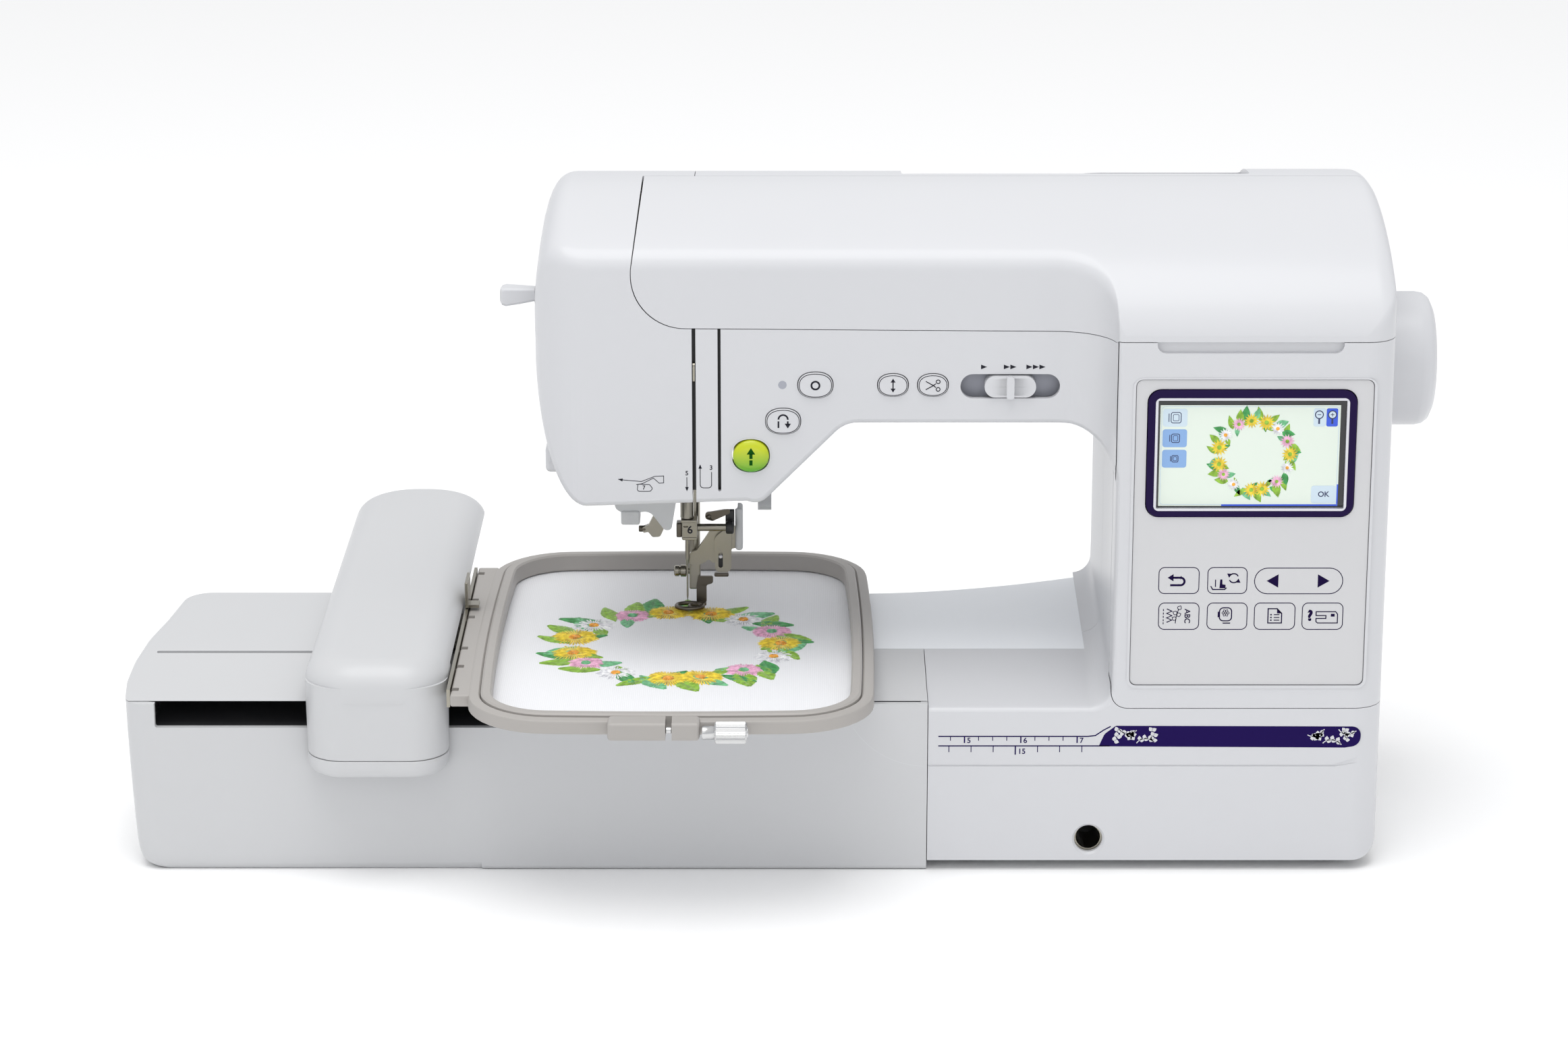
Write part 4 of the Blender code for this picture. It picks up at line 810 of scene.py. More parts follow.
def casing_solid(inset, fine):
    """The whole casing without openings: the outer form, or its coarser inside when inset by the wall."""
    solid = casing_block(inset, fine)
    if inset:
        low, front = CASE_BOTTOM - 5.0, BED_FRONT - inset
        lip = [(inset, low), (front, low), (front, BED - inset), (4.0 + inset, LIP - inset),
               (inset, LIP - 4.0 - inset)]
        join(solid, prism("lip", None, "X", lip, SEAM_X + inset, WALL_X + 1.0 + inset))
        return cut(solid, prism("throat", None, "Y", throat_outline(inset, 30.0), FAR_FRONT, FAR_REAR))
    join(solid, block("base_front", None, SEAM_X, WALL_X + 1.0, 0.0, BED_FRONT, CASE_BOTTOM, 206.0),
         block("root", None, 130.0, WALL_X + 1.0, BED_FRONT - 0.2, COLUMN_REAR - 0.4, BED + 0.03, 206.0))
    return cut(solid, arm_clearance(), flared_throat(), bed_cutter())


# ---------------------------------------------------------------- placing pieces

def place(obj, body, *nodes, slot="body_white"):
    """A finished piece rides on its body and stands for its CAD nodes; its slot argument is not used."""
    if nodes:
        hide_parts(*nodes)
    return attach(obj, body)


def split_y(obj, y, side):
    """Keep what is in front of (side -1) or behind (side +1) the plane at y."""
    low, high = (y, 400.0) if side < 0 else (-200.0, y)
    return cut(obj, block("half", None, -500.0, 500.0, low, high, -50.0, 500.0))


def hollow_casing():
    """The casing with its wall, the handle's pocket and the openings that no seam passes through."""
    shell, inner = casing_solid(0.0, True), casing_solid(WALL, False)
    cut(inner, handle_slab("pocket_wall", 3.6, 20.0))
    cut(shell, inner, handle_slab("pocket", 0.6, 20.0))
    cut(shell, prism_tool("Z", rectangle(-86.0, -14.5, 86.0, 150.0, 5.0), 150.0, 176.0))
    cut(shell, block_tool(-14.0, -4.4, 124.0, 162.0, 150.0, 183.0))
    return cut(shell, block_tool(149.0, 155.0, 59.0, 178.6, -1.0, 80.0),
               block_tool(68.2, 152.0, 58.0, 64.0, -1.0, 7.0))


def take_lid(shell):
    """Lift the lid out of the shell, and cut the thread slot up to the lid's edge."""
    lid = copy_of(shell, "lid_shell")
    combine(lid, prism_tool("Y", lid_outline(-GAP / 2), FAR_FRONT, LID_REAR), "INTERSECT")
    slot = rounded([(-29.6, 172.0, 0.7), (-28.2, 172.0, 0.6), (-28.2, 260.0, 0.0), (-29.6, 260.0, 0.0)], 4)
    cut(shell, prism_tool("Y", lid_outline(GAP / 2), FAR_FRONT, LID_REAR + GAP),
        prism_tool("Y", slot, 10.0, 60.0))
    return lid


def take_face(shell):
    """The head's end cover, with the threader lever's slot and a grip below it."""
    face = copy_of(shell, "face_shell")
    lever_slot = rectangle(THREADER_Y - 3.4, THREADER_Y + 3.4, 196.0, 256.0, 3.0)
    cut(face, block_tool(HEAD_CUT, 400.0, *ALL_YZ), prism_tool("X", lever_slot, -120.0, -104.0))
    return join(face, block_tool(-109.0, -99.6, 60.0, 80.0, 170.5, 183.0, 2.2))


def panel_region(gap, corner):
    left, low, right, high = PANEL_LEFT - gap, PANEL_BOTTOM - gap, 300.0, 260.0
    outline = rounded([(left, low, corner + gap), (right, low, 0.0), (right, high, 0.0), (left, high, 0.0)], 8)
    return prism_tool("Y", outline, FAR_FRONT, PANEL_DEPTH + gap)


def take_panel(shell):
    """The column's front cover, with its pockets for the control sheet and the display."""
    panel = copy_of(shell, "panel_shell")
    combine(panel, panel_region(0.0, 7.0), "INTERSECT")
    cut(shell, panel_region(GAP, 7.0))
    for (x0, x1, z0, z1), radius, deep in ((SHEET, 3.0, 1.6), (BEZEL, 6.0, 9.0)):
        cut(panel, prism_tool("Y", rectangle(x0 - GAP, x1 + GAP, z0 - GAP, z1 + GAP, radius), -5.0, deep))
    recess = rounded([(164.0, 242.2, 4.0), (246.0, 242.2, 4.0), (246.0, 252.0, 0.0), (164.0, 252.0, 0.0)], 6)
    return cut(panel, prism_tool("Y", recess, -2.0, 2.2))


def take_front(shell):
    front = copy_of(shell, "front_shell")
    cut(front, block_tool(-200.0, TONGUE_LEFT, *ALL_YZ))
    split_y(front, HALF, -1)
    for u, v, half_u, half_v, _ in BUTTONS.values():
        cut(front, prism_tool("Y", oval(u, v, half_u + 0.4, half_v + 0.4), 5.0, 50.0))
    u, v, half_u, half_v = SPEED_SLOT
    cut(front, prism_tool("Y", rectangle(u - half_u, u + half_u, v - half_v, v + half_v, 5.55), 5.0, 50.0))
    knee = [(0.0, -5.0), (7.6, -5.0), (7.4, 0.0), (6.4, 1.0), (6.4, 10.0), (0.0, 10.0)]
    return cut(front, turned("tool", None, "Y", KNEE_HOLE, knee), band_groove())


def take_rear(shell):
    """What is left of the shell, with the openings for the handwheel, the power inlet and the vents."""
    shell.name = "rear_shell"
    cut(shell, block_tool(-200.0, HEAD_CUT + GAP, *ALL_YZ))
    split_y(shell, HALF + GAP, 1)
    return cut(shell, rod_tool("X", (WHEEL_Y, WHEEL_Z), 9.0, 255.0, 290.0),
               block_tool(262.0, 280.0, 118.0, 168.0, 24.0, 52.0), *vent_cutters())


def make_casings():
    """The outer mouldings, taken one after the other out of one shell with their gaps."""
    shell = hollow_casing()
    pieces = (("lid", "top_cover", take_lid), ("machine", "face_cover", take_face),
              ("machine", "panel_cover", take_panel), ("machine", "front_housing", take_front),
              ("machine", "rear_housing", take_rear))
    taken = [(take(shell), body, node) for body, node, take in pieces]
    for obj, body, node in taken:
        paint(place(weighted(obj), body, node), "body_white")


def band_groove():
    """Shallow step across the base front under the ruler, which turns up at its right end."""
    line = [(SEAM_X - 5.0, 50.7), (248.0, 50.7), (258.0, 54.0), (265.0, 63.0), (267.5, 77.0), (272.0, 77.0),
            (272.0, 76.0), (268.6, 62.0), (261.0, 52.0), (249.0, 49.9), (SEAM_X - 5.0, 49.9)]
    return prism("groove", None, "Y", line, -5.0, 0.35)


def vent_cutters():
    """Cooling slots low in the rear wall of the column."""
    return [prism("vent", None, "Y", rectangle(x - 1.6, x + 1.6, 30.0, 66.0, 1.5), 170.0, 200.0)
            for x in [176.0 + 9.0 * k for k in range(9)]]


def handle_slab(name, grow, height):
    outline = rectangle(HANDLE.x - HANDLE_HALF - grow, HANDLE.x + HANDLE_HALF + grow, HANDLE.y - 3.0 - grow,
                        HANDLE.y + 40.0 + grow, 2.0)
    return tilt(prism(name, None, "Z", outline, HANDLE.z - 3.6 - grow, HANDLE.z + height))


def tilt(obj):
    """Lean a part of the handle about its hinge, to follow the slope of the crown."""
    pivot = Matrix.Translation((HANDLE - ORIGIN) * MM)
    obj.data.transform(pivot @ Matrix.Rotation(HANDLE_TILT, 4, "X") @ pivot.inverted())
    return obj


def make_handle():
    half, deep = HANDLE_HALF, 40.0
    outline = rounded([(-half, -1.8, 1.5), (16.0 - half, -1.8, 1.5), (16.0 - half, 20.0, 6.0),
                       (half - 16.0, 20.0, 6.0), (half - 16.0, -1.8, 1.5), (half, -1.8, 1.5),
                       (half, deep, 14.0), (-half, deep, 14.0)], 8)
    outline = [(HANDLE.x + u, HANDLE.y + v) for u, v in outline]
    handle = tilt(prism("handle_bar", "body_white", "Z", outline, HANDLE.z - 3.6, HANDLE.z + 2.6, bevel=1.4))
    place(handle, "handle", "carry_handle")


def free_arm_outline(grow=0.0, steps=10):
    left, right, front = ARM_LEFT - grow, WALL_X - GAP + grow, BED_FRONT + GAP - grow
    points = rounded([(left, front, 5.0), (right, front, 0.0), (right, 177.0 + grow, 0.0)], steps)
    count = 24
    for k in range(count + 1):
        x = 146.0 - 108.0 * k / count
        points.append((x, ARM_BACK + 28.5 * ((x - 38.0) / 108.0) ** 1.8 + grow))
    return points + rounded([(-60.0, ARM_BACK + grow, 0.0), (left, ARM_BACK + grow, 12.0),
                             (left, 110.0, 0.0)], steps)[:-1]


def make_bed():
    # the free arm cover takes the brightened copy of the body plastic, painted light against the shade under the
    # arm
    cover = prism("arm_shell", "bed_white", "Z", free_arm_outline(), 14.0, BED)
    cut(cover, prism_tool("Z", free_arm_outline(-WALL), 8.0, BED - WALL),
        prism_tool("Z", rectangle(-84.3, -9.7, 70.7, 139.3, 3.3), 70.0, 95.0),
        block_tool(144.0, 155.0, 66.5, 172.0, 5.0, 80.0))
    place(bevelled(cover, 1.0, 4, 50.0), "machine", "free_arm_cover")
    window_hole = rectangle(-70.3, -27.7, 73.7, 102.3, 2.0)
    needle_hole = oval(NEEDLE_X, NEEDLE_Y, 4.0, 1.2, 24)
    feed_slots = [rectangle(x0, x1, y0, 126.0, 0.6, 2)
                  for x0, x1, y0 in ((-58.0, -54.5, 104.0), (-37.0, -33.5, 104.0), (-51.5, -48.0, 112.5))]
    plate = prism("stitch_plate", "steel", "Z", rectangle(-84.0, -10.0, 71.0, 139.0, 3.0), 82.6, 85.3,
                  [window_hole, needle_hole, *feed_slots])
    place(bevelled(plate, 0.3, 2, 50.0), "machine", "needle_plate", slot="steel")
    window = prism("bobbin_window", "clear_plastic", "Z", rectangle(-70.0, -28.0, 74.0, 102.0, 1.7), 83.0,
                   85.0,
                   bevel=0.3)
    place(window, "machine", "bobbin_cover", slot="clear_plastic")


# ---------------------------------------------------------------- embroidery unit

def unit_outline(shrink=0.0, steps=8):
    left = [(-288.0, UNIT_REAR - shrink, 12.0), (-292.8, 110.0, 60.0), (-297.4, 80.0, 60.0),
            (UNIT_LEFT, 50.0, 60.0), (-299.0, 24.0, 60.0), (-296.6, shrink, 9.0)]
    corners = [(UNIT_RIGHT - shrink, shrink, 0.0), (UNIT_RIGHT - shrink, UNIT_REAR - shrink, 0.0)]
    return rounded(corners + [(x + shrink, y, radius) for x, y, radius in left], steps)


def finish_unit(obj, body, node):
    place(weighted(paint(obj, "unit_white")), body, node, slot="unit_white")


def make_unit_base(outline):
    """The unit's tray, open at the top, with the slot that the carriage's foot runs in."""
    rings = []
    seam = SLOT_Z[1] + 1.0
    levels = ((0.0, 10.0), (0.6, 8.2), (2.0, 6.3), (4.0, 4.8), (7.0, 3.7), (12.0, 2.9), (20.0, 2.3),
              (35.0, 1.5),
              (50.0, 0.8), (65.0, 0.3), (seam, 0.0))
    for z, inward in levels:
        toe = max(2.4 - z * 0.8, 0.0)
        rings.append([(x + inward * (x < -200.0), y + toe * (y < 8.0), z) for x, y in outline])
    base = loft("unit_body", "unit_white", rings)
    rear, right = BED_FRONT - GAP, SEAM_X - GAP
    leg_side = rounded([(0.0, seam, 0.0), (0.0, 0.0, 2.2), (rear, 0.0, 0.0), (rear, seam, 0.0)], 5)
    join(base, prism_tool("X", leg_side, UNIT_RIGHT - 4.0, right))
    inner = [(x + 2.6 * (x < -200.0), y) for x, y in unit_outline(WALL)]
    mouth = [(-283.5, SLOT_Z[0], 1.0), (-72.0, SLOT_Z[0], 1.0), (-72.0, 100.0, 0.0), (-283.5, 100.0, 0.0)]
    cut(base, prism_tool("Z", inner, 3.5, 90.0),
        block_tool(UNIT_RIGHT - 6.0, right - WALL, WALL, rear - WALL, 3.5, 90.0),
        prism_tool("Y", rounded(mouth, 3), -5.0, 10.0))
    finish_unit(base, "machine", "unit_base")


def make_unit_top(outline):
    """The unit's cover, rounded at the left and rear, with the groove across it and its sloping lip."""
    bottom = SLOT_Z[1] + 1.3
    rings = [[(x, y, bottom) for x, y in outline]]
    for k in range(9):
        angle = math.pi / 2 * k / 8
        z, inward = UNIT_TOP - 4.0 * (1 - math.sin(angle)), 4.0 * (1 - math.cos(angle))
        rings.append([(x + inward * (x < -200.0), y - inward * (y > 140.0), z) for x, y in outline])
    top = loft("unit_lid", "unit_white", rings)
    left, right, rear = UNIT_RIGHT - 4.0, SEAM_X - GAP, BED_FRONT - GAP
    leg = rounded([(left, 0.0, 0.0), (right, 0.0, 0.8), (right, rear, 0.0), (left, rear, 0.0)], 4)
    join(top, prism_tool("Z", leg, bottom, UNIT_TOP))
    lip = rounded([(-5.0, 92.0, 0.0), (-5.0, 70.0, 0.0), (0.01, 70.0, 0.0), (0.01, LIP, 1.6),
                   (4.0, LIP + 2.2, 5.0), (BED_FRONT, BED + 0.01, 0.0), (BED_FRONT + 1.0, 92.0, 0.0)], 6)
    groove = rounded([(-290.0, 57.8, 0.9), (-75.0, 57.8, 0.9), (-75.0, 60.2, 0.9), (-290.0, 60.2, 0.9)], 4)
    cut(top, prism_tool("X", lip, -320.0, 100.0), prism_tool("Z", groove, 70.0, 100.0))
    finish_unit(top, "machine", "unit_top_cover")


def make_unit():
    outline = unit_outline()
    make_unit_base(outline)
    make_unit_top(outline)
    well = block("unit_well", "black_plastic", -286.0, -70.0, 4.2, 57.0, 63.0, 68.0, 0.4)
    place(well, "machine", slot="black_plastic")


def carriage_section(inward, radius, z, rear, back_radius=27.0):
    left, right, front = CARRIAGE[:3]
    corners = [(left + inward, front + inward, radius), (right - inward, front + inward, radius),
               (right - inward, rear, back_radius), (left + inward, rear, back_radius)]
    return [(x, y, z) for x, y in rounded(corners)]


def make_carriage():
    left, right, _, rear, low, high = CARRIAGE
    middle, seam, soft = (left + right) / 2, 93.0, 0.15
    rings = [carriage_section(inward, 22.0 - inward, z, rear - inward)
             for z, inward in ((86.6, 0.6), (87.4, soft), (90.0, 0.0), (seam, soft))]
    for k in range(1, 13):
        angle = math.pi / 2 * k / 12
        z, inward = seam + (high - seam) * math.sin(angle), soft + 14.0 * (1 - math.cos(angle))
        rings.append(carriage_section(inward, 22.0 - inward * 0.7, z, rear - inward, 27.0 - inward * 0.7))
    cover = loft("carriage_shell", "unit_white", rings)
    nose = [carriage_section(inward, 17.0, z, -2.0, 0.0)
            for z, inward in ((59.9, 1.1), (60.6, 0.85), (80.0, 0.6), (94.0, 0.6))]
    join(cover, loft("tool", None, nose))
    chin = []
    for k in range(8):
        angle = math.pi / 2 * k / 7
        chin.append(carriage_section(7.0 - 6.1 * math.sin(angle), 12.0 + 4.0 * k / 7,
                                     low + 6.0 * (1 - math.cos(angle)), -2.2, 0.0))
    chin += [carriage_section(0.9, 16.2, 59.2, -2.2, 0.0), carriage_section(1.2, 16.0, 59.55, -2.2, 0.0)]
    foot = loft("carriage_chin", "unit_white", chin)
    join(foot, block_tool(middle - 12.0, middle + 12.0, -6.0, 16.0, 72.0, 76.0),
         block_tool(middle - 12.0, middle + 12.0, -6.0, -2.3, 56.0, 76.0))
    cut(cover, block_tool(middle - 12.4, middle + 12.4, -6.5, 20.0, 50.0, 76.4),
        block_tool(right - 7.0, right + 5.0, 10.0, 262.0, 80.0, 96.0))
    finish_unit(cover, "carriage", "carriage_cover")
    finish_unit(foot, "carriage", "carriage_foot")


# ---------------------------------------------------------------- hoop

def hoop_outline(half_x, half_y, bow=3.0, corner=34.0, steps=10, run=18):
    """Rounded rectangle whose four sides bow outward, counter-clockwise."""
    inner_x, inner_y = half_x - bow, half_y - bow
    centres = [(inner_x - corner, inner_y - corner), (corner - inner_x, inner_y - corner),
               (corner - inner_x, corner - inner_y), (inner_x - corner, corner - inner_y)]
    points = []
    for side, (cx, cy) in enumerate(centres):
        arc = [(cx + corner * math.cos(math.pi / 2 * (side + k / steps)),
                cy + corner * math.sin(math.pi / 2 * (side + k / steps))) for k in range(steps + 1)]
        nx, ny = centres[(side + 1) % 4]
        turn = math.pi / 2 * (side + 1)
        end = (nx + corner * math.cos(turn), ny + corner * math.sin(turn))
        points += arc
        for k in range(1, run):
            t = k / run
            points.append((arc[-1][0] + (end[0] - arc[-1][0]) * t, arc[-1][1] + (end[1] - arc[-1][1]) * t))
    result = []
    for x, y in points:
        swell_x = bow * (1 - (y / half_y) ** 2) * max(-1.0, min(1.0, x / (inner_x * 0.9)))
        swell_y = bow * (1 - (x / half_x) ** 2) * max(-1.0, min(1.0, y / (inner_y * 0.9)))
        result.append((HOOP_X + x + swell_x, HOOP_Y + y + swell_y))
    return result


def band(name, material, profile, half_x, half_y, corner):
    """A hoop ring swept round its outline from a closed profile of (inset, height) points."""
    rings = []
    for inset, z in profile:
        outline = hoop_outline(half_x - inset, half_y - inset, corner=corner - inset)
        rings.append([(x, y, z) for x, y in outline])
    return loft(name, material, rings, caps=False)


def make_hoop():
    low, high = RING_Z
    width = 5.2
    profile = [(0.5, low), (width - 0.5, low), (width, low + 0.5), (width, high - 1.9),
               (width - 0.7, high - 1.2), (1.6, high - 1.3), (0.5, high - 1.9), (0.0, high - 3.0),
               (0.0, low + 0.5)]
    outer = band("hoop_outer", "hoop_beige", profile, HOOP_HALF_X, HOOP_HALF_Y, 34.0)
    front = HOOP_Y - HOOP_HALF_Y
    join(outer, block_tool(HOOP_X - 26.5, HOOP_X + 13.5, front - 8.5, front + 3.0, low, high + 0.6, 1.6))
    cut(outer, block_tool(HOOP_X - 1.4, HOOP_X + 1.4, front - 12.0, front + 9.0, 80.0, 110.0))
    bar_x = HOOP_X - HOOP_HALF_X - 6.5
    join(outer, block_tool(bar_x, bar_x + 10.0, -30.0, 160.0, low, high - 2.0, 1.0))
    for y in (-22.0, 10.0, 36.0, 82.0, 108.0, 150.0):
        cut(outer, block_tool(bar_x - 1.0, bar_x + 3.4, y - 2.0, y + 2.0, high - 4.0, high + 2.0))
    place(weighted(paint(outer, "hoop_beige")), "frame", "hoop_outer_ring", slot="hoop_beige")
    gap, thick = 5.5, 4.7
    profile = [(0.4, FABRIC_Z + 0.3), (thick - 0.5, FABRIC_Z + 0.3), (thick, FABRIC_Z + 0.9),
               (thick, high - 0.8),
               (thick - 0.7, high), (0.9, high), (0.0, high - 0.7), (0.0, FABRIC_Z + 0.7)]
    inner = band("hoop_inner", "hoop_beige", profile, HOOP_HALF_X - gap, HOOP_HALF_Y - gap, 34.0 - gap)
    place(weighted(inner), "frame", "hoop_inner_ring", slot="hoop_beige")
    make_clamp_screw(front)
    return make_cloth()


def make_clamp_screw(front):
    """Knurled knob beside the clamp, and its shank between the clamp's two lugs."""
    x0, y, z, teeth, depth = HOOP_X + 14.0, SCREW_FRONT + SCREW_R, 92.0, 36, 0.28
    rings = []
    for along, radius in ((6.0, 4.1), (6.6, SCREW_R), (19.2, SCREW_R), (19.9, 4.1)):
        ring = []
        for k in range(teeth * 2):
            angle = math.pi * k / teeth
            r = radius - (depth if k % 2 and radius == SCREW_R else 0.0)
            ring.append((x0 + along, y + r * math.cos(angle), z + r * math.sin(angle)))
        rings.append(ring)
    knob = soften(loft("clamp_knob", "bright_steel", rings), 25.0)
    join(knob, rod_tool("X", (y, z), 3.0, x0 + 0.4, x0 + 7.0),
         rod_tool("X", (y, z), 2.6, x0 + 19.0, x0 + 20.5))
    place(paint(knob, "bright_steel"), "hoop_screw", "hoop_screw", slot="steel")
    shank = rod("clamp_shank", "bright_steel", "X", (front - 3.4, z), 1.5, HOOP_X - 1.3, HOOP_X + 1.3)
    place(shank, "frame", slot="steel")


def make_cloth():
    """Stretched cloth: a thin closed plate with faint pull lines, under the inner ring."""
    outline = hoop_outline(HOOP_HALF_X - 6.0, HOOP_HALF_Y - 6.0, corner=28.0)
    bm = bmesh.new()
    rows = []
    count, thick = 26, 0.45
    for k in range(count):
        scale = 1.0 - k / count
        row = []
        for x, y in outline:
            u, v = HOOP_X + (x - HOOP_X) * scale, HOOP_Y + (y - HOOP_Y) * scale
            lift = 0.10 * noise(Vector((u * 0.035, v * 0.035, 3.0))) * min(k / 3.0, 1.0)
            row.append((u, v, FABRIC_Z - 0.12 + lift))
        rows.append(row)
    top = [[bm.verts.new(p) for p in row] for row in rows]
    low = [[bm.verts.new((x, y, z - thick)) for x, y, z in row] for row in rows]
    size = len(outline)
    for a, b in [*zip(top, top[1:]), *zip(low, low[1:]), (top[0], low[0])]:
        for i in range(size):
            j = (i + 1) % size
            bm.faces.new((a[i], a[j], b[j], b[i]))
    bm.faces.new(top[-1])
    bm.faces.new(low[-1])
    cloth = as_object("hooped_cloth", "cloth_white", bm)
    place(cloth, "frame", "hoop_fabric", slot="cloth_white")
    xs, ys = zip(*outline)
    area = abs(sum(x0 * y1 - x1 * y0 for (x0, y0), (x1, y1) in zip(outline, outline[1:] + outline[:1]))) / 2
    return cloth, ((max(xs) - min(xs)) * MM, (max(ys) - min(ys)) * MM), area * MM * MM


# ---------------------------------------------------------------- controls and moving parts

def make_wheel():
    profile = [(0.0, WHEEL_END), (12.0, WHEEL_END - 0.1), (20.0, WHEEL_END - 0.5), (25.0, 299.9),
               (28.6, 298.2),
               (30.4, 295.8), (WHEEL_R, 292.5), (WHEEL_R, 276.0), (30.6, 274.0), (29.2, 272.4), (26.0, 271.0),
               (8.0, 271.0), (8.0, 268.0), (0.0, 268.0)]
    wheel = turned("hand_wheel", "body_white", "X", (WHEEL_Y, WHEEL_Z), profile, 128)
    place(weighted(wheel), "main_shaft", "handwheel")


def make_buttons():
    for name, (u, v, half_u, half_v, face) in BUTTONS.items():
        green = name == "start_stop_button"
        finish, power = ("start_green", 2.0) if green else ("body_white", 2.3)
        crown, drop = (0.5, 1.6) if green else (0.93, 0.5)
        rings = [[(a, 33.0, b) for a, b in oval(u, v, half_u, half_v, power=power)]]
        for k in range(7):
            angle = math.pi / 2 * k / 6
            scale = crown + (1 - crown) * math.cos(angle)
            rings.append([(a, face + drop * (1 - math.sin(angle)), b)
                          for a, b in oval(u, v, half_u * scale, half_v * scale, power=power)])
        button = paint(loft(name + "_cap", finish, rings), finish)
        place(weighted(button, 50.0), name, name, slot=finish)
        if not green:
            ring = outline_of(oval(u, v, half_u - 0.5, half_v - 0.5), 0.32)
            marks(name + "_print", "dark_ink", [ring] + button_icon(name, u, v), face, body=name)
    u, v, half_u, half_v, face = BUTTONS["start_stop_button"]
    arrow = [[rectangle(u - 0.7, u + 0.7, v - 3.9, v - 1.5)],
             [rectangle(u - 0.7, u + 0.7, v - 0.8, v + 1.4)], arrowhead(u, v + 4.2, 3.0, 1.9, 90.0)]
    marks("start_arrow", "green_ink", arrow, face, body="start_stop_button", slot="start_green")
    rim = outline_of(oval(u, v, half_u + 0.75, half_v + 0.75), 0.7)
    marks("start_rim", "body_white", [rim], ARM_FRONT, relief=0.35)
    marks("ready_dot", "slate", [disc(-0.7, 221.4, 1.9)], ARM_FRONT)


def button_icon(name, u, v):
    """Generic symbol printed on a push button."""
    if name == "reverse_button":
        hook = stroke([(u - 2.1, v + 1.0)] + arc(u, v + 1.0, 2.1, 168.0, 12.0) + [(u + 2.1, v + 0.9)], 0.75)
        return [hook, stroke([(u - 2.1, v - 2.9), (u - 2.1, v + 0.2)], 0.75),
                stroke([(u + 2.1, v - 1.2), (u + 2.1, v + 0.2)], 0.75),
                arrowhead(u + 2.1, v - 3.1, 2.2, 1.4, -90.0)]
    if name == "reinforcement_button":
        return [outline_of(disc(u, v, 1.8)[0], 0.8)]
    if name == "needle_position_button":
        return [stroke([(u, v - 1.5), (u, v + 1.5)], 0.5), arrowhead(u, v + 3.2, 1.8, 1.1, 90.0),
                arrowhead(u, v - 3.2, 1.8, 1.1, -90.0)]
    blades = [stroke([(u - 3.2, v + s * 1.9), (u + 0.2, v), (u + 1.3, v - s * 0.9)], 0.42) for s in (1, -1)]
    return blades + [outline_of(disc(u + 2.3, v + s * 1.75, 0.85)[0], 0.4) for s in (1, -1)]


def make_speed_control():
    u, v, half_u, half_v = SPEED_SLOT
    well = rectangle(u - half_u - 0.8, u + half_u + 0.8, v - half_v - 0.8, v + half_v + 0.8, 6.2)
    tray = prism("speed_tray", "slate", "Y", well, 31.4, 32.4, bevel=0.3)
    place(tray, "machine", slot="light_grey")
    half_u, half_v = SPEED_KNOB
    cap = rectangle(u - half_u, u + half_u, v - half_v, v + half_v, 4.85)
    knob = prism("speed_cap", "body_white", "Y", cap, 23.6, 31.0, bevel=0.5)
    ridge = rectangle(u - 1.7, u + 1.7, v - half_v - 0.25, v + half_v + 0.1, 1.2)
    join(knob, prism("ridge", "body_white", "Y", ridge, 21.2, 25.0, bevel=0.6))
    place(weighted(knob), "speed_knob", "speed_knob")
    arrows = []
    for count, x in ((1, 89.0), (2, 100.6), (3, 112.1)):
        arrows += [arrowhead(x + 2.9 * (k - count / 2) + 2.9, 229.7, 2.7, 1.05, 0.0) for k in range(count)]
    marks("speed_arrows", "dark_ink", arrows, ARM_FRONT)


# ---------------------------------------------------------------- control panel

def make_panel():
    x0, x1, z0, z1 = SHEET
    bx0, bx1, bz0, bz1 = BEZEL
    hole = rectangle(bx0 - GAP, bx1 + GAP, bz0 - GAP, bz1 + GAP, 6.0)
    sheet = prism("panel_film", "panel_grey", "Y", rectangle(x0, x1, z0, z1, 3.0), SHEET_FRONT, 1.3,
                  holes=[hole])
    place(bevelled(sheet, 0.15, 2, 50.0), "machine", "control_sheet", slot="panel_grey")
    rim = rectangle(x0 - 1.6, x1 + 1.6, z0 - 1.6, z1 + 1.0, 4.4)
    rim_hole = rectangle(x0 - 0.35, x1 + 0.35, z0 - 0.35, z1 + 0.35, 3.2)
    marks("panel_rim", "body_white", [[rim, rim_hole]], 0.0, relief=0.35)
    silver = (163.8, 249.4, 170.2, 222.1)
    frames = (("bezel_ring", "navy_trim", BEZEL, 6.0, silver, 2.4, -0.5, "lcd_bezel"),
              ("silver_ring", "silver_trim", silver, 2.2, (165.0, 248.2, 171.4, 220.9), 0.5, -0.2, None))
    for name, material, outer, radius, inner, inner_radius, front, node in frames:
        ring = prism(name, material, "Y", rectangle(*outer, radius), front, 3.5,
                     holes=[rectangle(*inner, inner_radius)])
        nodes = [node] if node else []
        place(bevelled(ring, 0.3, 3, 50.0), "machine", *nodes, slot="navy_trim")
    back = prism("screen_surround", "screen_black", "Y", rectangle(164.9, 248.3, 171.3, 221.0), 2.2, 3.2)
    place(back, "machine", slot="navy_trim")
    glass = prism("screen_face", "screen_pale", "Y", rectangle(*LCD), 1.9, 2.6)
    place(glass, "machine", "lcd_screen", slot="display_glass")
    make_screen_picture()
    make_keys()


def screen_marks(name, material, shapes, level, texts=()):
    """Picture elements on the display, drawn in layers so that later ones lie in front."""
    marks(name, material, shapes, 1.9 - 0.02 * level, relief=0.03, texts=texts, slot="display_glass")


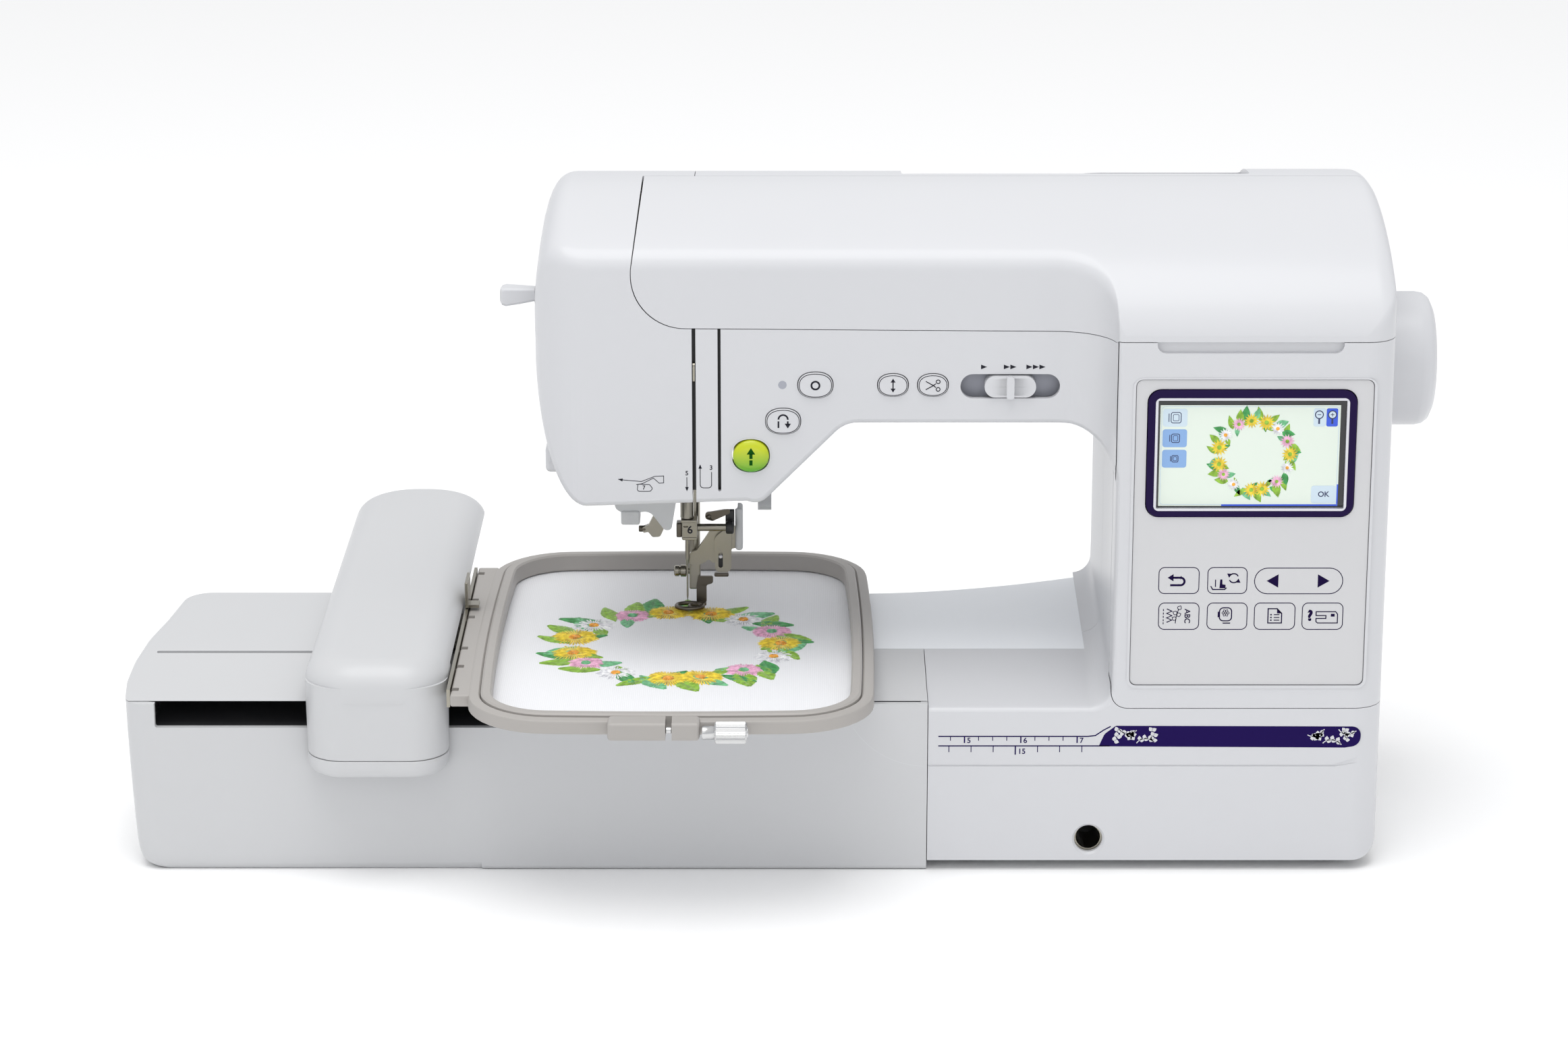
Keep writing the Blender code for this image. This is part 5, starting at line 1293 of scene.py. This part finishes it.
def hoop_symbol(u, v, size):
    """Small plan of a hoop with its connector, for the display's buttons."""
    shapes = [stroke([(u - size * 0.62, v - size * 0.4), (u - size * 0.62, v + size * 0.4)], 0.35)]
    for left, half, corner, width in ((0.22, 0.3, 0.1, 0.25), (0.42, 0.5, 0.2, 0.35)):
        ring = rectangle(u - size * left, u + size * half, v - size * half, v + size * half, size * corner)
        shapes.insert(0, outline_of(ring, width))
    return shapes


def make_screen_picture():
    x0, x1, z0, z1 = LCD
    border = outline_of(rectangle(x0 + 0.7, x1 - 0.7, z0 + 0.7, z1 - 0.7, 1.4), 0.25)
    screen_marks("screen_border", "screen_light", [border], 1)
    bar = [[rectangle(x0 + 28.0, x1, z0, z0 + 0.8)], [rectangle(x1 - 0.6, x1, z0 + 0.9, z0 + 10.0)]]
    screen_marks("screen_bar", "screen_deep", bar, 2)
    centres = [z1 - 5.7 - 9.4 * k for k in range(3)]
    boxes = [[rectangle(x0 + 1.2, x0 + 12.0, z - 4.1, z + 4.1, 1.2)] for z in centres]
    screen_marks("screen_hoop_button", "screen_light", boxes[:1], 2)
    screen_marks("screen_hoop_buttons", "screen_blue", boxes[1:], 2)
    icons = [loop for z, size in zip(centres, (4.8, 3.9, 3.0)) for loop in hoop_symbol(x0 + 6.8, z, size)]
    screen_marks("screen_hoop_icons", "screen_ink", icons, 3)
    zoom = (x1 - 11.9, x1 - 1.2, z1 - 9.7, z1 - 1.4)
    half = (zoom[0] + zoom[1]) / 2
    ok_box = (x1 - 11.9, x1 - 0.8, z0 + 1.3, z0 + 9.4)
    screen_marks("screen_tools", "screen_light", [[rectangle(zoom[0], half, *zoom[2:], 1.0)],
                                                  [rectangle(*ok_box, 1.2)]], 3)
    screen_marks("screen_zoom_on", "screen_deep", [[rectangle(half + 0.3, zoom[1], *zoom[2:], 0.8)]], 3)
    lenses, glasses = [], []
    for u in (half - 2.9, half + 2.9):
        v = zoom[2] + 5.4
        lenses += [outline_of(disc(u, v, 1.75)[0], 0.45), stroke([(u, v - 1.9), (u, v - 4.2)], 0.8)]
        lenses.append(stroke([(u - 0.8, v), (u + 0.8, v)], 0.3))
        glasses.append(disc(u, v, 1.7))
    lenses.append(stroke([(half + 2.9, zoom[2] + 4.6), (half + 2.9, zoom[2] + 6.2)], 0.3))
    screen_marks("screen_lens_glass", "screen_light", glasses, 4)
    screen_marks("screen_lenses", "screen_ink", lenses, 5)
    centre = ((ok_box[0] + ok_box[1]) / 2, (ok_box[2] + ok_box[3]) / 2)
    screen_marks("screen_label", "screen_ink", [], 5, texts=[letters("OK", 3.4, *centre)])
    wreath = Wreath(x0 + 41.9, (z0 + z1) / 2 + 0.2, 15.9)
    layers = defaultdict(list)
    for level, material, shape in wreath.flat_shapes():
        layers[level, material].append(shape)
    for (level, material), shapes in sorted(layers.items()):
        screen_marks("screen_wreath_%d_%s" % (level, material), material, shapes, 2 + level)


def key_icons():
    """Generic symbols of the keys under the display, in the panel's plane."""
    shapes = [outline_of(rectangle(*key, radius), 0.36) for key, radius in KEYS]
    # a bent arrow for going back
    back = [(173.4, 139.1), (176.9, 139.1)] + arc(176.9, 137.35, 1.75, 90.0, -90.0) + [(172.3, 135.6)]
    shapes += [stroke(back, 0.95), arrowhead(171.1, 139.1, 2.6, 1.7, 180.0)]
    # a small foot beside two turning arrows
    shapes += [stroke([(190.4, 135.2), (191.3, 133.6), (196.6, 133.6), (197.5, 134.4)], 0.5),
               stroke([(192.5, 138.2), (192.5, 134.8)], 0.45),
               [[(194.3, 134.2), (194.6, 138.3), (195.5, 138.3), (195.6, 136.0), (197.0, 135.8),
                 (197.0, 134.2)]]]
    for start in (25.0, 205.0):
        shapes.append(stroke(arc(200.6, 138.9, 2.1, start, start + 118.0), 0.55))
        tip = arc(200.6, 138.9, 2.1, start + 150.0, start + 150.0, 1)[0]
        shapes.append(arrowhead(*tip, 1.9, 1.05, start + 242.0))
    # left and right
    shapes += [arrowhead(215.3, 137.6, 5.2, 3.1, 180.0), arrowhead(243.3, 137.6, 5.2, 3.1, 0.0)]
    # straight, zigzag and leaf stitches
    shapes += [stroke([(169.6, z), (169.6, z - 0.9)], 0.4) for z in (124.4, 122.8, 121.2, 119.6, 118.2)]
    shapes.append(stroke([(171.1 + 2.3 * (k % 2), 124.5 - 1.05 * k) for k in range(7)], 0.45))
    shapes.append(stroke([(175.0, 117.7), (175.4, 121.0), (176.4, 124.5)], 0.35))
    for u, v, turn in ((175.3, 119.5, 150.0), (175.6, 121.4, 25.0), (175.7, 122.2, 155.0),
                       (176.3, 124.2, 60.0)):
        shapes.append(outline_of(leaf_outline(u, v, turn, 2.0, 0.9), 0.3))
    # a thread spool with a flower
    shapes += [outline_of(rectangle(194.7, 200.1, 118.9, 125.0, 1.7), 0.5),
               [rectangle(193.9, 194.5, 120.6, 123.2)], [rectangle(196.2, 199.6, 117.6, 118.1)]]
    for a in [math.pi / 3 * k for k in range(6)]:
        petal = leaf_outline(197.4 + 0.4 * math.cos(a), 122.6 + 0.4 * math.sin(a), math.degrees(a), 1.3, 0.6)
        shapes.append(outline_of(petal, 0.25))
    # a page with lines
    page = [(216.4, 117.9), (216.4, 124.6), (220.4, 124.6), (222.5, 122.4), (222.5, 117.9)]
    shapes.append(outline_of(page, 0.5))
    shapes += [stroke([(219.0, v), (221.5, v)], 0.4) for v in (121.8, 120.5, 119.2)]
    shapes += [[rectangle(217.4, 218.1, v - 0.3, v + 0.3)] for v in (121.8, 120.5, 119.2)]
    shapes.append([[(220.4, 124.7), (220.4, 122.4), (222.6, 122.4)]])
    # the machine itself, beside a question mark
    machine = [(237.9, 123.2), (246.6, 123.2), (247.5, 122.0), (247.5, 117.9), (238.6, 117.9), (237.9, 118.6),
               (237.9, 120.0), (242.3, 120.0), (242.3, 121.4), (237.9, 121.4)]
    shapes.append(outline_of(machine, 0.45))
    shapes.append([rectangle(244.5, 246.2, 120.9, 122.2)])
    texts = [letters("ABC", 3.5, 180.2, 121.1, -90.0), letters("?", 6.6, 235.2, 121.2, weight=0.05)]
    return shapes, texts


def make_keys():
    shapes, texts = key_icons()
    marks("key_prints", "key_ink", shapes, SHEET_FRONT, relief=0.05, texts=texts, slot="panel_grey")


# ---------------------------------------------------------------- prints on the base and the head

def make_ruler():
    """Inch and centimetre scale from the needle, with generic figures."""
    top, low, left = 64.2, 59.7, SEAM_X + 4.6
    upper = [(left, top), (137.0, top), (140.5, top + 0.5), (144.0, top + 3.0), (147.2, 69.0)]
    shapes = [stroke(upper, 0.55),
              stroke([(left, low), (147.0, low)], 0.55)]
    for quarter in range(19, 29):
        x = NEEDLE_X + 25.4 * quarter / 4
        if left < x < 134.0:
            whole = quarter % 4 == 0
            shapes.append(stroke([(x, top - 0.2), (x, top - (3.1 if whole else 2.0))], 0.6 if whole else 0.38))
    for centimetre in range(12, 19):
        x = NEEDLE_X + 10.0 * centimetre
        if left < x < 138.0:
            fifth = centimetre % 5 == 0
            shapes.append(stroke([(x, low - 0.2), (x, low - (4.2 if fifth else 3.0))], 0.6 if fifth else 0.38))
    texts = [letters(str(inch), 3.5, NEEDLE_X + 25.4 * inch + 2.0, top - 2.0) for inch in (5, 6, 7)]
    texts.append(letters("15", 3.5, NEEDLE_X + 152.9, low - 2.7))
    marks("ruler", "navy_ink", shapes, 0.0, relief=0.05, texts=texts)


def sprig(u, v, turn, length, side):
    """Curved stem with leaves on both sides, as separate leaf shapes and a stroke."""
    bend, steps = side * 55.0, 8
    stem = []
    for k in range(steps + 1):
        t = k / steps
        angle = math.radians(turn + bend * t)
        stem.append((u + length * t * math.cos(angle), v + length * t * math.sin(angle)))
    return [stroke(stem, 0.42)] + [small_leaf(*stem[k], turn + bend * k / steps + spread, length * 0.26)
                                   for k in (2, 4, 6) for spread in (50.0, -50.0)]


def small_leaf(u, v, turn, length):
    return [leaf_outline(u, v, turn, length, length * 0.42)]


def make_band():
    """Navy band with a generic sprig ornament at both ends and no words."""
    band = rounded([(142.0, 59.5, 0.0), (253.0, 58.9, 0.0), (259.8, 60.0, 4.5), (260.2, 68.4, 4.0),
                    (256.0, 69.0, 0.0), (149.5, 69.3, 2.0), (144.5, 65.4, 4.0)], 8)
    marks("base_band", "navy_ink", [[band]], 0.0, relief=0.05)
    shapes = []
    for u, v, turn, length, side in ((147.0, 60.8, 20.0, 9.0, 1), (151.0, 67.8, -60.0, 8.0, 1),
                                     (159.0, 61.0, 60.0, 8.0, -1), (165.0, 60.6, 40.0, 8.5, 1),
                                     (236.0, 65.0, -35.0, 8.0, 1), (243.0, 61.0, 50.0, 8.5, -1),
                                     (250.0, 67.6, -60.0, 8.0, 1), (252.0, 60.9, 40.0, 8.0, 1)):
        shapes += [shape for shape in sprig(u, v, turn, length, side)
                   if all(59.6 < b < 68.9 for loop in shape for _, b in loop)]
    for u, v in ((156.5, 64.6), (240.6, 64.4)):
        shapes += [small_leaf(u, v, 72.0 * k + 18.0, 2.6) for k in range(5)]
    marks("band_ornament", "body_white", shapes, -0.05, relief=0.04)


def make_head_prints():
    """Threading guides: generic step figures with arrows."""
    column = stroke([(-43.6, 178.6), (-43.6, 173.4)], 0.32)
    loop = [(-37.6, 182.6), (-37.6, 175.6)] + arc(-36.1, 175.1, 1.5, 180.0, 270.0, 6)
    loop += arc(-34.0, 175.1, 1.5, 270.0, 360.0, 6) + [(-32.5, 181.0)]
    hook = [(-73.0, 177.4), (-64.0, 176.6), (-58.0, 179.0), (-54.0, 179.2), (-54.0, 176.0), (-56.0, 175.8),
            (-58.6, 178.2), (-63.6, 175.6), (-66.4, 175.2)]
    disc_line = rounded([(-65.6, 175.4, 0.4), (-66.0, 172.0, 1.0), (-60.0, 172.0, 1.2), (-59.0, 173.4, 0.8),
                         (-60.4, 175.2, 0.4)], 4)
    shapes = [column, arrowhead(-43.6, 172.0, 2.0, 0.8, -90.0), stroke(loop, 0.32),
              arrowhead(-37.6, 184.6, 2.0, 0.8, 90.0), stroke(hook, 0.28), outline_of(disc_line, 0.3),
              arrowhead(-74.6, 177.7, 2.2, 0.7, 170.0)]
    texts = [letters(*figure) for figure in (("5", 2.9, -43.6, 180.4), ("3", 2.9, -32.7, 183.0),
                                             ("7", 2.6, -62.9, 173.7))]
    marks("threading_prints", "dark_ink", shapes, ARM_FRONT, texts=texts)


# ---------------------------------------------------------------- wreath

def leaf_outline(u, v, turn, length, half, steps=7):
    """Pointed leaf from its foot at (u, v) along turn in degrees."""
    c, s = math.cos(math.radians(turn)), math.sin(math.radians(turn))
    edge = [(length * k / steps, half * math.sin(math.pi * (k / steps) ** 0.8)) for k in range(steps + 1)]
    loop = [(a, -b) for a, b in edge] + [(a, b) for a, b in reversed(edge[1:-1])]
    return [(u + a * c - b * s, v + a * s + b * c) for a, b in loop]


class Wreath:
    """Generic ring of daisies and leaves around a centre, as plain data for print or for stitches."""

    FLOWERS = ("petal_yellow", "petal_white", "petal_pink")
    LEAVES = ("leaf_green", "deep_green", "leaf_green", "mint_green")

    def __init__(self, u, v, radius, count=15, seed=11):
        dice = random.Random(seed)
        self.leaves, self.flowers = [], []
        for k in range(count * 3):
            angle = 360.0 * (k + 0.5 * dice.random()) / (count * 3)
            inward = k % 3 == 0
            turn = angle + (180.0 if inward else 0.0) + dice.choice((-1, 1)) * dice.uniform(20.0, 62.0)
            reach = radius * dice.uniform(0.95, 1.03)
            a, b = math.cos(math.radians(angle)), math.sin(math.radians(angle))
            length = radius * (dice.uniform(0.26, 0.32) if inward else dice.uniform(0.36, 0.46))
            self.leaves.append((u + reach * a, v + reach * b, turn, length, length * dice.uniform(0.2, 0.28),
                                self.LEAVES[k % 4]))
        for k in range(count):
            angle = 360.0 * (k + dice.uniform(-0.15, 0.15)) / count
            kind = self.FLOWERS[(k * 2 + k // 4) % 3]
            size = radius * (0.235 if kind == "petal_yellow" else 0.2) * dice.uniform(0.92, 1.06)
            a, b = math.cos(math.radians(angle)), math.sin(math.radians(angle))
            self.flowers.append((u + radius * a, v + radius * b, size, kind, dice.uniform(0.0, 20.0)))

    def flat_shapes(self):
        for k, (u, v, turn, length, half, kind) in enumerate(self.leaves):
            yield k % 3, kind, [leaf_outline(u, v, turn, length, half)]
        for u, v, size, kind, turn in self.flowers:
            for k in range(14):
                yield 3 + k % 2, kind, [leaf_outline(u, v, turn + 360.0 * k / 14, size, size * 0.13)]
            yield 6, "petal_orange" if kind == "petal_white" else "leaf_green", disc(u, v, size * 0.26, 12)


def stitch(bm, start, end, width, height, base):
    """One raised thread from start to end: a low arch with a rounded top."""
    a, b = Vector(start), Vector(end)
    along = (b - a).normalized()
    side = Vector((-along.y, along.x)) * width / 2
    rows = []
    for t, lift, narrow in ((0.0, 0.05, 0.5), (0.2, 0.72, 1.0), (0.5, 1.0, 1.0), (0.8, 0.72, 1.0),
                            (1.0, 0.05, 0.5)):
        p = a.lerp(b, t)
        rows.append([bm.verts.new((p.x + side.x * s * narrow, p.y + side.y * s * narrow, base + z))
                     for s, z in ((1.0, -0.05), (0.62, height * lift * 0.75), (0.0, height * lift),
                                  (-0.62, height * lift * 0.75), (-1.0, -0.05))])
    for first, second in zip(rows, rows[1:]):
        for i in range(5):
            bm.faces.new((first[i], first[(i + 1) % 5], second[(i + 1) % 5], second[i]))
    bm.faces.new(rows[0])
    bm.faces.new(rows[-1])


def ray(bm, u, v, turn, start, end, width, height, base):
    """A stitch that points away from (u, v), from one distance to another."""
    c, s = math.cos(math.radians(turn)), math.sin(math.radians(turn))
    stitch(bm, (u + start * c, v + start * s), (u + end * c, v + end * s), width, height, base)


def make_embroidery():
    """The wreath on the cloth, worked stitch by stitch in raised thread."""
    wreath = Wreath(HOOP_X, 61.0, 48.5)
    base, dice = FABRIC_Z - 0.05, random.Random(5)
    layers = defaultdict(bmesh.new)
    for order, (u, v, turn, length, half, kind) in enumerate(wreath.leaves):
        c, s = math.cos(math.radians(turn)), math.sin(math.radians(turn))
        count, height = int(length / 0.62), 0.42 + 0.05 * (order % 3)
        for k in range(1, count):
            t = k / count
            reach = half * math.sin(math.pi * t ** 0.8)
            foot, tip = length * (t - 0.10), length * min(t + 0.06, 1.0)
            for side in (1, -1):
                edge = side * reach * dice.uniform(0.92, 1.05)
                end = (u + tip * c - edge * s, v + tip * s + edge * c)
                stitch(layers[kind], (u + foot * c, v + foot * s), end, 0.74, height, base)
    for u, v, size, kind, turn in wreath.flowers:
        white = kind == "petal_white"
        count = 33 if white else 42
        for k in range(count):
            reach = size * ((1.0, 0.96, 0.7)[k % 3] if white else dice.uniform(0.84, 1.0))
            ray(layers[kind], u, v, turn + 360.0 * k / count, 0.2 * size, reach, 0.95, 0.75, base)
        heart = "mint_green" if kind == "petal_pink" else "petal_orange"
        for k in range(16):
            ray(layers[heart], u, v, turn + 22.5 * k, 0.0, 0.26 * size, 0.9, 1.05, base)
    for kind, bm in layers.items():
        place(as_object("stitches_" + kind, kind, bm, weld=0.0), "frame", slot="cloth_white")


# ---------------------------------------------------------------- under the head

def plate(name, material, corners, y0, y1, holes=(), bevel=0.25, steps=5):
    """Upright sheet-metal or moulded plate from rounded corners in front view."""
    obj = prism(name, material, "Y", rounded(corners, steps), y0, y1, holes)
    return bevelled(obj, bevel, 2, 50.0)


def tube_ring(name, material, centre, half_u, half_v, radius, z):
    """Closed wire ring of round section that follows an oval."""
    path = oval(centre[0], centre[1], half_u, half_v, 48, 2.2)
    rings = []
    for i, (u, v) in enumerate(path):
        (u0, v0), (u1, v1) = path[i - 1], path[(i + 1) % len(path)]
        tangent = Vector((u1 - u0, v1 - v0)).normalized()
        rings.append([(u + tangent.y * radius * math.cos(a), v - tangent.x * radius * math.cos(a),
                       z + radius * math.sin(a)) for a in [2 * math.pi * k / 12 for k in range(12)]])
    return loft(name, material, rings, caps=False)


def make_needle_clamp():
    x, y = NEEDLE_X, NEEDLE_Y
    front = y - 4.0
    clamp = block("clamp_block", "steel", x - 2.5, x + 4.9, front, y + 4.0, 124.6, 133.4, 0.5)
    join(clamp, block_tool(x - 2.9, x + 4.9, front - 0.4, y + 3.0, 132.9, 134.3, 0.3))
    join(clamp, block_tool(x - 2.2, x + 4.6, front - 0.35, y + 3.0, 124.4, 125.8, 0.3))
    join(clamp, rod_tool("X", (y - 1.0, 129.8), 1.75, x + 3.0, x + 18.6))
    cut(clamp, rod_tool("Z", (x - 0.6, front - 0.6), 1.3, 130.6, 131.4))
    place(weighted(clamp), "needle_bar", "needle_clamp", slot="steel")
    jaw = block("clamp_jaw", "dark_steel", x - 5.0, x - 2.4, front + 0.8, y + 3.0, 125.4, 132.4, 0.6)
    place(jaw, "needle_bar", slot="steel")
    head = [(0.0, x + 18.2), (2.6, x + 18.2), (3.1, x + 18.8), (3.1, x + 21.4), (2.5, x + 22.0),
            (0.0, x + 22.0)]
    knob = turned("clamp_screw_head", "black_plastic", "X", (y - 1.0, 129.8), head, 40)
    place(knob, "needle_bar", slot="steel")
    marks("clamp_figure", "dark_ink", [], front, texts=[letters("6", 5.2, x + 1.4, 129.3)], body="needle_bar",
          slot="steel")


def make_foot():
    """Embroidery foot: shank, bracket with its slotted plate, clamp screw and oval ring."""
    shank = block("foot_shank", "steel", -44.9, -39.6, 116.2, 125.8, 97.0, 112.7, 0.7)
    join(shank, block_tool(-45.2, -39.4, 115.4, 125.0, 110.4, 112.9, 0.4))
    place(weighted(shank), "presser", "embroidery_foot", slot="steel")
    bracket = [(-44.6, 109.2, 0.6), (-44.6, 115.4, 1.2), (-41.2, 116.6, 1.2), (-34.0, 128.0, 1.6),
               (-21.6, 128.4, 1.2), (-21.6, 118.0, 1.2), (-24.8, 117.4, 0.8), (-25.0, 111.0, 1.5),
               (-34.0, 110.4, 1.2), (-35.6, 112.6, 1.1), (-37.4, 110.6, 1.0), (-41.4, 109.0, 1.0)]
    slotted = [(-32.6, 106.4, 2.4), (-25.0, 106.4, 2.4), (-24.8, 128.0, 0.8), (-27.0, 128.2, 1.0),
               (-33.0, 123.4, 4.6)]
    slot_hole = rectangle(-31.0, -28.9, 108.6, 116.4, 1.04, 6)
    link = plate("foot_link", "dark_steel", [(-37.2, 133.2, 1.7), (-33.6, 132.2, 1.7), (-25.4, 136.0, 1.0),
                                            (-25.6, 138.2, 1.0), (-34.6, 136.6, 1.7), (-37.0, 136.4, 1.5)],
                 111.2, 112.6)
    join(link, rod_tool("Y", (-35.3, 134.4), 1.0, 110.4, 111.6))
    lower = [(-41.5, 91.0, 0.8), (-36.7, 91.0, 0.8), (-36.7, 99.4, 1.0), (-33.6, 100.4, 1.4),
             (-33.6, 103.8, 0.8), (-40.6, 103.8, 0.8), (-41.5, 99.0, 0.8)]
    screw = [(0.0, -52.2), (2.0, -52.2), (2.7, -51.6), (2.7, -49.9), (2.2, -49.6), (2.2, -49.2), (2.9, -48.9),
             (2.9, -46.6), (2.2, -46.2), (1.5, -46.2), (1.5, -44.4), (0.0, -44.4)]
    pieces = (plate("foot_bracket", "steel", bracket, 115.0, 116.9),
              plate("foot_slotted_plate", "steel", slotted, 113.2, 114.6, [slot_hole]),
              rod("foot_pin", "silver_trim", "Y", (-29.95, 114.0), 0.95, 112.9, 115.2),
              block("foot_slot_back", "black_plastic", -31.4, -28.4, 114.5, 115.1, 108.2, 112.8),
              weighted(block("foot_guard", "light_grey", -23.0, -19.4, 112.6, 123.6, 117.0, 138.0, 1.5)),
              block("foot_cheek", "black_plastic", -27.6, -23.4, 112.4, 116.0, 128.4, 137.2, 0.6),
              weighted(link),
              plate("foot_plate", "dark_steel", lower, 115.0, 116.2),
              block("foot_tongue", "dark_steel", -41.4, -36.8, 112.6, 116.2, 89.8, 91.4, 0.5),
              tube_ring("foot_ring", "dark_steel", (NEEDLE_X + 1.0, NEEDLE_Y), 6.2, 4.5, 1.05, 90.7),
              tube_ring("foot_bridge", "dark_steel", (NEEDLE_X + 3.4, NEEDLE_Y), 2.6, 2.2, 0.7, 90.8),
              turned("foot_screw", "steel", "X", (120.0, 105.0), screw, 40),
              block("foot_lever_end", "dark_steel", -33.0, -26.2, 113.4, 117.2, 103.9, 105.6, 0.6))
    for piece in pieces:
        place(piece, "presser", slot="steel")


def make_threader_head():
    bell = [(-78.6, 190.0, 0.0), (-78.8, 144.0, 3.0), (-74.4, 141.4, 1.5), (-62.6, 142.8, 5.0),
            (-55.8, 133.6, 2.2), (-52.6, 133.4, 2.0), (-49.8, 150.0, 4.0), (-49.4, 190.0, 0.0)]
    carrier = plate("threader_bell", "light_grey", bell, 92.0, 106.0, bevel=1.6, steps=8)
    place(carrier, "threader_carrier", "threader_carrier", slot="light_grey")
    knob = block("threader_knob", "light_grey", -76.0, -67.2, 91.0, 104.0, 136.2, 143.0, 1.0)
    place(weighted(knob), "threader_carrier", slot="light_grey")
    marks("threader_figure", "body_white", [], 91.0, relief=0.12, texts=[letters("7", 4.6, -71.6, 139.4)],
          body="threader_carrier", slot="light_grey")
    hook = [(-66.6, 133.0, 1.0), (-63.4, 134.2, 0.8), (-61.0, 139.0, 0.8), (-57.6, 139.6, 0.6),
            (-56.2, 132.6, 1.2), (-58.0, 128.6, 1.6), (-61.6, 128.4, 1.4), (-63.6, 131.0, 0.8), (-65.8, 130.4, 0.8)]
    place(plate("threader_hook", "steel", hook, 97.6, 100.6, bevel=0.5), "threader_carrier", slot="steel")
    pin = rod("threader_pin", "dark_steel", "X", (99.0, 132.2), 1.5, -68.0, -64.6)
    place(pin, "threader_carrier", slot="steel")


def make_lamp():
    lens = block("lamp_bar", "lamp_glow", -37.0, -21.4, 70.0, 82.0, 150.0, 157.0, 1.4)
    place(lens, "machine", "lamp_lens", slot="clear_plastic")
    for name, x0, x1 in (("slot_liner_left", -43.4, -37.6), ("slot_liner_right", -31.6, -26.4)):
        place(block(name, "black_plastic", x0, x1, 29.2, 30.2, 171.5, 246.0), "machine", slot="black_plastic")


def make_threader_lever():
    y = THREADER_Y
    rings = []
    for x, half, low, high in ((-129.2, 3.4, 247.2, 252.6), (-128.4, 4.6, 245.9, 253.6),
                               (-126.6, 5.0, 245.4, 254.0), (-120.0, 4.4, 246.3, 253.7),
                               (-113.4, 3.4, 247.4, 253.4), (-113.0, 2.9, 247.8, 253.0)):
        rings.append([(x, v, w) for v, w in rectangle(y - half, y + half, low, high, 1.4, 5)])
    lever = loft("threader_paddle", "body_white", rings)
    join(lever, block_tool(-114.0, -98.0, y - 2.4, y + 2.4, 246.6, 252.0, 0.8))
    place(weighted(lever), "threader_lever", "threader_lever")


def make_unit_arc():
    """Fine arc scored where the unit's front meets the machine's base."""
    line = arc(64.0, 88.6, 38.6, 212.0, 269.0, 20)
    marks("unit_arc", "light_grey", [stroke(line, 0.3)], 0.0, relief=0.02, slot="unit_white")


def paint_cad_nodes():
    """Every CAD node keeps its mesh and gets the material of the slot that the record names."""
    slots = {row["node"]: row["material_slot"] for row in frame["record"]["subparts"]}
    for name, node in frame["nodes"].items():
        paint(node, slots[name] if slots[name] in MATERIALS else "light_grey")


def main():
    for make in (make_camera, make_studio, make_casings, make_handle, make_bed, make_unit, make_carriage):
        make()
    cloth, cloth_flat, cloth_area = make_hoop()
    for make in (make_wheel, make_buttons, make_speed_control, make_panel, make_ruler, make_band,
                 make_head_prints,
                 make_needle_clamp, make_foot, make_threader_head, make_threader_lever, make_lamp,
                 make_unit_arc,
                 make_embroidery):
        make()
    paint_cad_nodes()


main()
